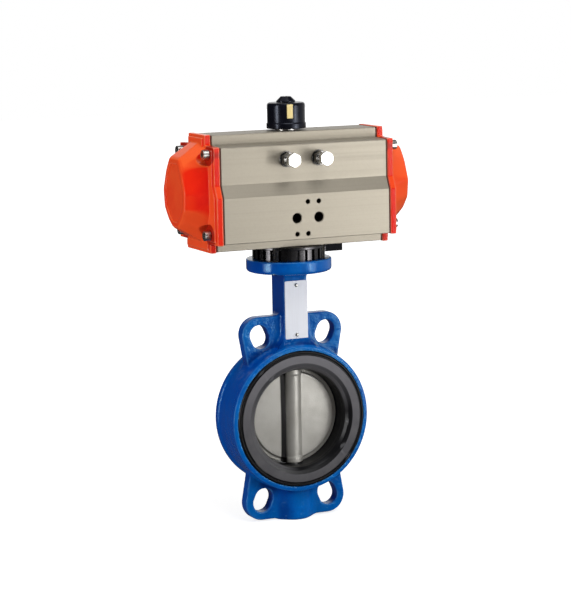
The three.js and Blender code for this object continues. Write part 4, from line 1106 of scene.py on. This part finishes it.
# Flange bolts, cap screws and stop screws. The stop screws' places are depths in front of the axis.
FLANGE_BOLT_HEAD = dict(radius=6.5, height=8, across=6, depth=4)
FLANGE_BOLT_SEAT = 158.5
FLANGE_BOLT_LENGTH = 30.4
CAP_SCREW_HEAD = dict(radius=5, height=6, across=5, depth=3)
CAP_SCREW_LENGTH = 20
COARSE_PITCH = 1.25
STOP_ACROSS = 13
STOP_TIP = 11.8
STOP_HEAD_BACK = 58.75
STOP_HEAD_FACE = 64.05
NUT_BACK = 45.75
NUT_FACE = 52.25
WASHER_BACK = 43.85
WASHER_FACE = 45.45
WASHER_RADIUS = 8


def build_flange_bolts():
    for i, (x, y) in enumerate(((1, 1), (-1, 1), (-1, -1), (1, -1)), 1):
        head = socket_head("bolt_head", **FLANGE_BOLT_HEAD)
        shank = threaded("bolt_shank", 4, COARSE_PITCH, -FLANGE_BOLT_LENGTH, 0.5)
        bolt = joined(f"flange_screw_{i}", head, shank)
        upward = Matrix.Rotation(math.pi, 4, "X")
        place(bolt, x * BOLT_PLACE, y * BOLT_PLACE, FLANGE_BOLT_SEAT, upward)
        crisp(bolt)
        dress(bolt, "housing", "turned_steel", f"flange_bolt_{i}", surface="dark_plating")


def build_cap_screws():
    seat = CAP_FACE + CAP_FLANGE + 0.3
    corners = [(y, z) for y in (SCREW_Y, -SCREW_Y) for z in (SCREW_Z, -SCREW_Z)]
    for side, sign, turn in (("left", -1, TO_LEFT), ("right", 1, TO_RIGHT)):
        for i, (y, z) in enumerate(corners, 1):
            head = socket_head("cap_screw_head", **CAP_SCREW_HEAD)
            shank = threaded("cap_screw_shank", 3, 1, -CAP_SCREW_LENGTH, 0.4)
            screw = joined(f"cap_bolt_{side}_{i}", head, shank)
            place(screw, sign * seat, sign * y, ACTUATOR_BASE + AXIS_HEIGHT + z, turn)
            crisp(screw)
            dress(screw, "housing", "bright_chrome", f"cap_screw_{side}_{i}", surface="turned_steel")


def build_stop_screws():
    for name, x in STOP_PLACES.items():
        where = dict(x=x, z=ACTUATOR_BASE + STOP_HEIGHT, turn=TO_FRONT)
        head = chamfered_hexagon("stop_head", STOP_ACROSS, STOP_HEAD_BACK, STOP_HEAD_FACE, False)
        shank = threaded("stop_shank", 4, COARSE_PITCH, STOP_TIP, STOP_HEAD_BACK + 0.05)
        screw = place(joined(f"stop_bolt_{name}", head, shank), **where)
        crisp(screw)
        dress(screw, "housing", "bright_chrome", f"stop_screw_{name}")
        nut = chamfered_hexagon(f"lock_nut_{name}", STOP_ACROSS, NUT_BACK, NUT_FACE, True)
        carve(nut, [prism("nut_bore", circle(BOLT_HOLE, TINY), 40, 60)])
        place(nut, **where)
        crisp(nut)
        dress(nut, "housing", "bright_chrome", f"stop_nut_{name}", surface="dark_plating")
        corners = [
            (BOLT_HOLE, WASHER_BACK), (WASHER_RADIUS, WASHER_BACK),
            (WASHER_RADIUS, WASHER_FACE), (BOLT_HOLE, WASHER_FACE),
        ]
        washer = lathe(f"sealing_washer_{name}", softened(corners, 0.3, 3), SMALL)
        place(washer, **where)
        crisp(washer)
        dress(washer, "housing", "turned_steel", f"stop_washer_{name}", surface="dark_plating")


# Actuator

# The extrusion's section, and what is cut into it. Heights are above the actuator's base.
FOOT_RAIL_HALF = 29.9
FOOT_RAIL_HEIGHT = 9.3
SLOPE_START = 54.7
SLOPE_END = 67.2
SHOULDER_FRONT = 104.3
SHOULDER_BACK = 105.3
TOP_RAIL_HALF = 20.5
PAST_END = 95
PAST_TOP = 120
BASE_BORE = 15.9
TOP_BORE = 11.8
WASHER_RECESS = 14.3
WASHER_RECESS_BASE = 113.5
CAM_POCKET = 28.49
CAM_POCKET_TOP = 94.7
PORT_DEPTH = 14
PATTERN_SCREW = 2.4
PATTERN_SCREW_DEPTH = 10
STOP_HOLE_END = 11.5
TOP_HOLE = 2.2
TOP_HOLE_BASE = 107.3
TOP_HOLE_X = 40
TOP_HOLE_Y = 15
BASE_HOLE_TOP = 11.3
GROOVE_WIDTH = 1.4
GROOVE_BASE = 102.6
GROOVE_TOP = 106.3
SCREW_HOLE = 3.3
SCREW_HOLE_START = 79.75


def body_outline(grow):
    side = [
        (FOOT_RAIL_HALF + grow, -grow),
        (FOOT_RAIL_HALF + grow, FOOT_RAIL_HEIGHT - grow),
        (PAD_FACE + grow, FOOT_RAIL_HEIGHT - grow),
        (PAD_FACE + grow, SLOPE_START),
        (PANEL_FACE + grow, SLOPE_END),
        (PANEL_FACE + grow, SHOULDER_FRONT + grow),
        (TOP_RAIL_HALF + grow, SHOULDER_BACK + grow),
        (TOP_RAIL_HALF + grow, BODY_HEIGHT + grow),
    ]
    return side + [(-y, z) for y, z in reversed(side)]


def front_hole(x, z, radius, low, high, chamfer):
    """A bore along -Y with a countersunk mouth 1 mm before its end."""
    profile = [(0, low), (radius, low), (radius, high - 1 - chamfer), (radius + chamfer, high - 1)]
    profile += [(radius + chamfer, high), (0, high)]
    return place(lathe("hole", profile, SMALL, closed=False), x, 0, z, TO_FRONT)


def body_cutters(turn):
    across, up = PORT_SPACING / 2, PATTERN_HEIGHT / 2
    mouth = PAD_FACE + 1
    barrel = prism("barrel", circle(CYLINDER_RADIUS, FINE, 0, AXIS_HEIGHT), -PAST_END, PAST_END)
    cutters = [
        place(barrel, turn=turn),
        prism("base_bore", circle(BASE_BORE, SMALL), -1, AXIS_HEIGHT),
        prism("top_bore", circle(TOP_BORE, SMALL), AXIS_HEIGHT, PAST_TOP),
        prism("washer_recess", circle(WASHER_RECESS, SMALL), WASHER_RECESS_BASE, PAST_TOP),
        prism("cam_pocket", circle(CAM_POCKET, MEDIUM), AXIS_HEIGHT, CAM_POCKET_TOP),
    ]
    for x in (-across, across):
        cutters.append(front_hole(x, PORT_HEIGHT, PORT_RADIUS, PAD_FACE - PORT_DEPTH, mouth, 0.6))
    for x, z in ((0, up), (across, up), (0, -up), (-across, -up)):
        start = PAD_FACE - PATTERN_SCREW_DEPTH
        cutters.append(front_hole(x, PORT_HEIGHT + z, PATTERN_SCREW, start, mouth, 0.3))
    for x in STOP_PLACES.values():
        cutters.append(front_hole(x, STOP_HEIGHT, BOLT_HOLE, STOP_HOLE_END, PANEL_FACE + 1, 0.4))
    for x in (-TOP_HOLE_X, TOP_HOLE_X):
        for y in (-TOP_HOLE_Y, TOP_HOLE_Y):
            cutters.append(prism("top_hole", circle(TOP_HOLE, TINY, x, y), TOP_HOLE_BASE, PAST_TOP))
    for x, y in bolt_places():
        cutters.append(prism("base_hole", circle(BOLT_HOLE, TINY, x, y), -1, BASE_HOLE_TOP))
    for y in (TOP_RAIL_HALF, -TOP_RAIL_HALF - GROOVE_WIDTH):
        far = PAST_END + 5
        groove = [(-far, y), (far, y), (far, y + GROOVE_WIDTH), (-far, y + GROOVE_WIDTH)]
        cutters.append(prism("groove", groove, GROOVE_BASE, GROOVE_TOP))
    for turn_end in (TO_LEFT, TO_RIGHT):
        for y in (SCREW_Y, -SCREW_Y):
            for z in (SCREW_Z, -SCREW_Z):
                hole = prism("screw_hole", circle(SCREW_HOLE, TINY), SCREW_HOLE_START, PAST_END)
                cutters.append(place(hole, 0, y, AXIS_HEIGHT + z, turn_end))
    return cutters


def build_body():
    radii = [0.8, 0.6, 1.0, 1.4, 1.4, 1.2, 0.5, 1.0]
    soft = softened(body_outline(0), radii + radii[::-1], 4)
    body = prism("actuator_extrusion", soft, -BODY_HALF_LENGTH, BODY_HALF_LENGTH)
    along_x = Matrix(((0, 0, 1, 0), (1, 0, 0, 0), (0, 1, 0, 0), (0, 0, 0, 1)))
    place(body, turn=along_x)
    carve(body, body_cutters(along_x))
    place(body, z=ACTUATOR_BASE)
    crisp(body, 30)
    dress(body, "housing", "anodised_aluminium", "actuator_body")


CAP_OUTLINE = body_outline(0.8)
CAP_INNER_OUTLINE = body_outline(-2.2)

# The dome's section from the bottom up: across and up from the cylinder's axis, at its base and end
DOME_BASE = [
    (15.9, -47.5), (30.0, -35.9), (34.5, -17.7), (34.5, 4.0), (34.5, 25.8), (25.9, 41.9), (10.0, 50.5)
]
DOME_END = [
    (8.5, -35.5), (19.0, -28.0), (28.0, -15.5), (30.0, 3.0), (22.0, 25.0), (17.0, 32.5), (12.5, 37.5)
]
DOME_EDGE_PLACE = 28

# The rest of a cap, with depths from the body outward
CAP_LIP = 6.2
CAP_EDGE = 0.9
DOME_EDGE = 3.0
DOME_BULGE = 2200
PANEL_INSET = 6.5
PANEL_DEPTH = 1.2
CAVITY_RADIUS = 32
CAVITY_END_RADIUS = 24
CAVITY_DEPTH = 24


def dome_section(u, y, z):
    """Distance to the dome's section at the depth u, negative inside."""
    t = np.clip((u - CAP_FLANGE) / (DOME_EDGE_PLACE - CAP_FLANGE), -0.2, 1.1)
    across = np.abs(y)
    corners = [
        (a + (c - a) * t, b + (d - b) * t) for (a, b), (c, d) in zip(DOME_BASE, DOME_END)
    ]
    low, top = corners[0][1], corners[-1][1]
    inside = soft_common(low - z, z - top, 1.2)
    for (ay, az), (by, bz) in zip(corners, corners[1:]):
        ey, ez = by - ay, bz - az
        side = ((across - ay) * ez - (z - az) * ey) / np.hypot(ey, ez)
        inside = soft_common(inside, side, 1.2)
    return inside


def cap_field(u, y, z):
    height = z + AXIS_HEIGHT
    lip = corner_round(inside_outline(CAP_OUTLINE, y, height), np.maximum(-u, u - CAP_LIP), CAP_EDGE)
    step = inside_outline(CAP_INNER_OUTLINE, y, height)
    step = corner_round(step, np.maximum(-u, u - CAP_FLANGE), CAP_EDGE)
    body = soft_join(lip, step, 0.8)
    section = dome_section(u, y, z)
    end = u - CAP_DEPTH + z * z / DOME_BULGE
    dome = np.maximum(corner_round(section, end, DOME_EDGE), -u)
    body = soft_join(body, dome, 1.6)
    panel = corner_round(section + PANEL_INSET, -(end + PANEL_DEPTH), 0.1)
    body = soft_cut(body, panel, 1.0)
    for sy in (1, -1):
        for sz in (1, -1):
            away = np.hypot(y - sy * SCREW_Y, z - sz * SCREW_Z)
            body = soft_cut(body, np.maximum(away - POCKET_RADIUS, CAP_FLANGE - 0.1 - u), CAP_EDGE)
            body = np.maximum(body, SCREW_HOLE - away)
    narrowing = (CAVITY_RADIUS - CAVITY_END_RADIUS) * np.clip(u / CAVITY_DEPTH, 0, 1)
    cavity = np.maximum(np.hypot(y, z) - (CAVITY_RADIUS - narrowing), u - CAVITY_DEPTH)
    body = np.maximum(body, -cavity)
    return np.maximum(body, -u)


def build_caps():
    step = 0.8
    margin = 1.2
    across, up = PAD_FACE + 1 + margin, BODY_HEIGHT - AXIS_HEIGHT + 0.85 + margin
    low, high = (-margin, -across, -up), (CAP_DEPTH + margin, across, up)
    for side, turn in (("left", Matrix.Rotation(math.pi, 4, "Z")), ("right", Matrix.Identity(4))):
        cap = skin(f"cap_casting_{side}", cap_field, low, high, step)
        place(cap, CAP_FACE)
        place(cap, z=ACTUATOR_BASE + AXIS_HEIGHT, turn=turn)
        smooth(cap, 50)
        dress(cap, "housing", "cap_paint", f"end_cap_{side}")


# Indicator

# Heights are above the indicator's base
INDICATOR_RADIUS = 19.2
INDICATOR_HEIGHT = 26
SKIRT_RADIUS = 20
SKIRT_HEIGHT = 5.2
SKIRT_BORE = 16.5
INDICATOR_BORE = 8.8
INSERT_HALF = 3
INSERT_FACE = 19.15
INSERT_BACK = 18.0
INSERT_BASE = 10.8
INSERT_TOP = 24.8
INSERT_GAP = 0.3
KNOB_SHANK = 2.5
KNOB_START = 4.3
KNOB_RADIUS = 9.7
KNOB_BASE = 26.3
KNOB_TOP = 32
BLADE_HALF = 0.8
BLADE_BASE = 29.8


def build_indicator_cap(turn):
    outside = softened(
        [
            (SKIRT_BORE, 0), (SKIRT_RADIUS, 0), (SKIRT_RADIUS, SKIRT_HEIGHT),
            (INDICATOR_RADIUS, SKIRT_HEIGHT + 1), (INDICATOR_RADIUS, INDICATOR_HEIGHT), (0, INDICATOR_HEIGHT),
        ],
        [0.3, 0.7, 0.9, 0.9, 3.0, 0], 6, closed=False,
    )
    inside = [(0, 8), (INDICATOR_BORE, 8), (INDICATOR_BORE, 5), (SKIRT_BORE, 5)]
    cap = lathe("indicator_cap", outside + inside, MEDIUM, closed=False)
    half, front, back = INSERT_HALF + INSERT_GAP, -SKIRT_RADIUS - 2, INSERT_GAP - INSERT_BACK
    corners = [(-half, front), (half, front), (half, back), (-half, back)]
    slot = prism("insert_slot", corners, INSERT_BASE - INSERT_GAP, INSERT_TOP + INSERT_GAP)
    carve(cap, [prism("screw_way", circle(KNOB_SHANK + 0.3, TINY), 7, 30), slot])
    place(cap, z=INDICATOR_BASE, turn=turn)
    crisp(cap)
    dress(cap, "drive", "black_plastic", "position_indicator")


def build_insert(turn):
    reach = math.asin(INSERT_HALF / INSERT_FACE)
    bends = np.linspace(-reach, reach, 9)
    face = [(INSERT_FACE * math.sin(a), -INSERT_FACE * math.cos(a)) for a in bends]
    outline = face + [(INSERT_HALF, -INSERT_BACK), (-INSERT_HALF, -INSERT_BACK)]
    insert = bevelled(prism("indicator_strip", outline, INSERT_BASE, INSERT_TOP), 0.25, 2)
    place(insert, z=INDICATOR_BASE, turn=turn)
    crisp(insert)
    dress(insert, "drive", "pale_yellow_plastic", "indicator_insert")


def build_knob(turn):
    profile = softened(
        [
            (0, KNOB_START), (KNOB_SHANK, KNOB_START), (KNOB_SHANK, KNOB_BASE), (KNOB_RADIUS, KNOB_BASE),
            (KNOB_RADIUS, KNOB_BASE + 1.2), (KNOB_RADIUS - 1.1, KNOB_BASE + 2.3),
            (5.0, KNOB_TOP), (0, KNOB_TOP),
        ],
        [0, 0, 0, 0.3, 0.5, 0.8, 1.4, 0], 5, closed=False,
    )
    knob = lathe("indicator_knob", profile, MEDIUM, closed=False)
    r, half = KNOB_RADIUS, BLADE_HALF
    blade = [(-r, -half), (r, -half), (r, half), (-r, half)]
    other = [(y, x) for x, y in reversed(blade)]
    carve(knob, [prism("blade", outline, BLADE_BASE, KNOB_TOP + 2) for outline in (blade, other)])
    place(knob, z=INDICATOR_BASE, turn=turn)
    crisp(knob)
    dress(knob, "drive", "black_plastic", "indicator_screw")


def build_indicator():
    turn = Matrix.Rotation(INSERT_TURN, 4, "Z")
    build_indicator_cap(turn)
    build_insert(turn)
    build_knob(turn)


def finish_cad_nodes():
    slots = {part["node"]: part.get("material_slot") for part in frame["record"]["subparts"]}
    for name, obj in frame["nodes"].items():
        if obj.hide_render:
            continue
        obj.data.materials.clear()
        surface = "gasket" if name.startswith("cap_gasket") else slots[name]
        obj.data.materials.append(SURFACES[surface])
        smooth(obj, 30)


# Camera, light and floor

PICTURE = 600
FOCAL_PIXELS = 2273.38
SENSOR = 36.0
CAMERA_PLACE = (-948.8, -2093.6, 462.6)
CAMERA_FORWARD = (0.4067, 0.9016, -0.1476)
CAMERA_RIGHT = (0.9102, -0.4136, -0.0186)


def add_camera():
    data = bpy.data.cameras.new("camera")
    data.sensor_width = SENSOR
    data.lens = FOCAL_PIXELS / PICTURE * SENSOR
    data.clip_end = 50
    camera = bpy.data.objects.new("camera", data)
    bpy.context.scene.collection.objects.link(camera)
    forward = Vector(CAMERA_FORWARD).normalized()
    right = Vector(CAMERA_RIGHT)
    right = (right - forward * right.dot(forward)).normalized()
    up = right.cross(forward)
    turn = Matrix((right, up, -forward)).transposed().to_4x4()
    camera.matrix_world = Matrix.Translation(Vector(CAMERA_PLACE) * MM) @ turn
    bpy.context.scene.camera = camera


def add_lamp(name, place_mm, target_mm, width, height, power):
    data = bpy.data.lights.new(name, "AREA")
    data.shape = "RECTANGLE"
    data.size = width
    data.size_y = height
    data.energy = power
    lamp = bpy.data.objects.new(name, data)
    bpy.context.scene.collection.objects.link(lamp)
    aim = (Vector(target_mm) - Vector(place_mm)).normalized()
    lamp.rotation_mode = "QUATERNION"
    lamp.rotation_quaternion = aim.to_track_quat("-Z", "Y")
    lamp.location = Vector(place_mm) * MM


def slope(tree, vector, toward, ramp):
    """A grey that follows how far a direction or place lies toward a direction."""
    dot = tree.nodes.new("ShaderNodeVectorMath")
    dot.operation = "DOT_PRODUCT"
    tree.links.new(vector, dot.inputs[0])
    dot.inputs[1].default_value = toward
    mapped = tree.nodes.new("ShaderNodeMapRange")
    mapped.interpolation_type = "SMOOTHSTEP"
    tree.links.new(dot.outputs["Value"], mapped.inputs["Value"])
    for name, value in zip(("From Min", "From Max", "To Min", "To Max"), ramp):
        mapped.inputs[name].default_value = value
    return mapped.outputs["Result"]


def add_world():
    """White where it is looked at. In gloss it is white on the right and dark on the left."""
    world = bpy.data.worlds.new("studio")
    bpy.context.scene.world = world
    world.use_nodes = True
    tree = world.node_tree
    tree.nodes.clear()
    out = tree.nodes.new("ShaderNodeOutputWorld")
    around = tree.nodes.new("ShaderNodeTexCoord").outputs["Generated"]
    soft = slope(tree, around, (0.85, -0.25, 0.45), (-0.6, 0.9, 0.12, 0.56))
    mirrored = slope(tree, around, (0.95, -0.1, -0.25), (0.4, 0.95, 0.03, 0.5))
    behind = slope(tree, around, (0.45, 0.86, 0.25), (0.78, 1.0, 0.0, 0.9))
    above = slope(tree, around, (-0.15, 0.2, 0.97), (0.8, 1.0, 0.0, 0.6))
    mirrored = math_node(tree, "MAXIMUM", mirrored, math_node(tree, "MAXIMUM", behind, above))
    path = tree.nodes.new("ShaderNodeLightPath")
    direct = math_node(
        tree, "MAXIMUM", path.outputs["Is Camera Ray"], path.outputs["Is Transmission Ray"]
    )
    glossy = math_node(tree, "MULTIPLY", path.outputs["Is Glossy Ray"], mirrored)
    diffuse = math_node(tree, "MULTIPLY", path.outputs["Is Diffuse Ray"], soft)
    background = tree.nodes.new("ShaderNodeBackground")
    background.inputs["Color"].default_value = (1, 1, 1, 1)
    shown = math_node(tree, "MAXIMUM", direct, math_node(tree, "MAXIMUM", glossy, diffuse))
    tree.links.new(shown, background.inputs["Strength"])
    tree.links.new(background.outputs["Background"], out.inputs["Surface"])


# Where the two tall light strips stand, as seen in gloss
LEFT_STREAK = (-0.99, -0.10, 0.0)
RIGHT_STREAK = (0.65, -0.76, 0.0)


def add_floor():
    edge = 6000
    level = FOOT_BOTTOM
    corners = [(-edge, -edge, level), (edge, -edge, level), (edge, edge, level), (-edge, edge, level)]
    floor = new_object("floor", corners, [(0, 1, 2, 3)])
    material = bpy.data.materials.new("Floor")
    material.use_nodes = True
    tree = material.node_tree
    tree.nodes.clear()
    out = tree.nodes.new("ShaderNodeOutputMaterial")
    matt = tree.nodes.new("ShaderNodeBsdfDiffuse")
    path = tree.nodes.new("ShaderNodeLightPath")
    other = math_node(tree, "SUBTRACT", 1.0, path.outputs["Is Glossy Ray"])
    tree.links.new(math_node(tree, "MULTIPLY", other, 0.6), matt.inputs["Color"])
    glow = tree.nodes.new("ShaderNodeEmission")
    spot = tree.nodes.new("ShaderNodeTexCoord").outputs["Object"]
    length = tree.nodes.new("ShaderNodeVectorMath")
    length.operation = "LENGTH"
    tree.links.new(spot, length.inputs[0])
    far = tree.nodes.new("ShaderNodeMapRange")
    far.interpolation_type = "SMOOTHSTEP"
    tree.links.new(length.outputs["Value"], far.inputs["Value"])
    for name, value in zip(("From Min", "From Max", "To Min", "To Max"), (0.25, 1.1, 0.76, 1.0)):
        far.inputs[name].default_value = value
    direct = math_node(
        tree, "MAXIMUM", path.outputs["Is Camera Ray"], path.outputs["Is Transmission Ray"]
    )
    seen = math_node(tree, "MULTIPLY", direct, far.outputs["Result"])
    graded = slope(tree, spot, (0.8, -0.5, 0.0), (-0.1, 1.8, 0.05, 0.65))
    bearing = tree.nodes.new("ShaderNodeVectorMath")
    bearing.operation = "NORMALIZE"
    tree.links.new(spot, bearing.inputs[0])
    for toward, strength in ((LEFT_STREAK, 6.0), (RIGHT_STREAK, 6.0)):
        streak = slope(tree, bearing.outputs["Vector"], toward, (0.965, 0.985, 0.0, strength))
        graded = math_node(tree, "MAXIMUM", graded, streak)
    mirrored = math_node(tree, "MULTIPLY", path.outputs["Is Glossy Ray"], graded)
    tree.links.new(math_node(tree, "MAXIMUM", seen, mirrored), glow.inputs["Strength"])
    both = tree.nodes.new("ShaderNodeAddShader")
    tree.links.new(matt.outputs["BSDF"], both.inputs[0])
    tree.links.new(glow.outputs["Emission"], both.inputs[1])
    tree.links.new(both.outputs["Shader"], out.inputs["Surface"])
    floor.data.materials.append(material)


def main():
    bpy.context.scene.view_settings.view_transform = "Standard"
    add_camera()
    add_world()
    add_floor()
    centre = (0, 0, 120)
    add_lamp("front_right", (690, -1500, 240), (0, 0, 200), 0.6, 0.3, 2.3)
    add_lamp("right_strip", (962, -1336, 220), centre, 0.2, 0.9, 4.5)
    add_lamp("left_strip", (-1500, -260, 300), centre, 0.3, 0.9, 9)
    add_lamp("top", (50, -600, 1400), (0, 0, 200), 0.9, 0.9, 9)
    build_valve()
    build_seat()
    build_disc()
    build_plate()
    build_tag()
    build_flange_bolts()
    build_cap_screws()
    build_stop_screws()
    build_body()
    build_caps()
    build_indicator()
    finish_cad_nodes()


main()
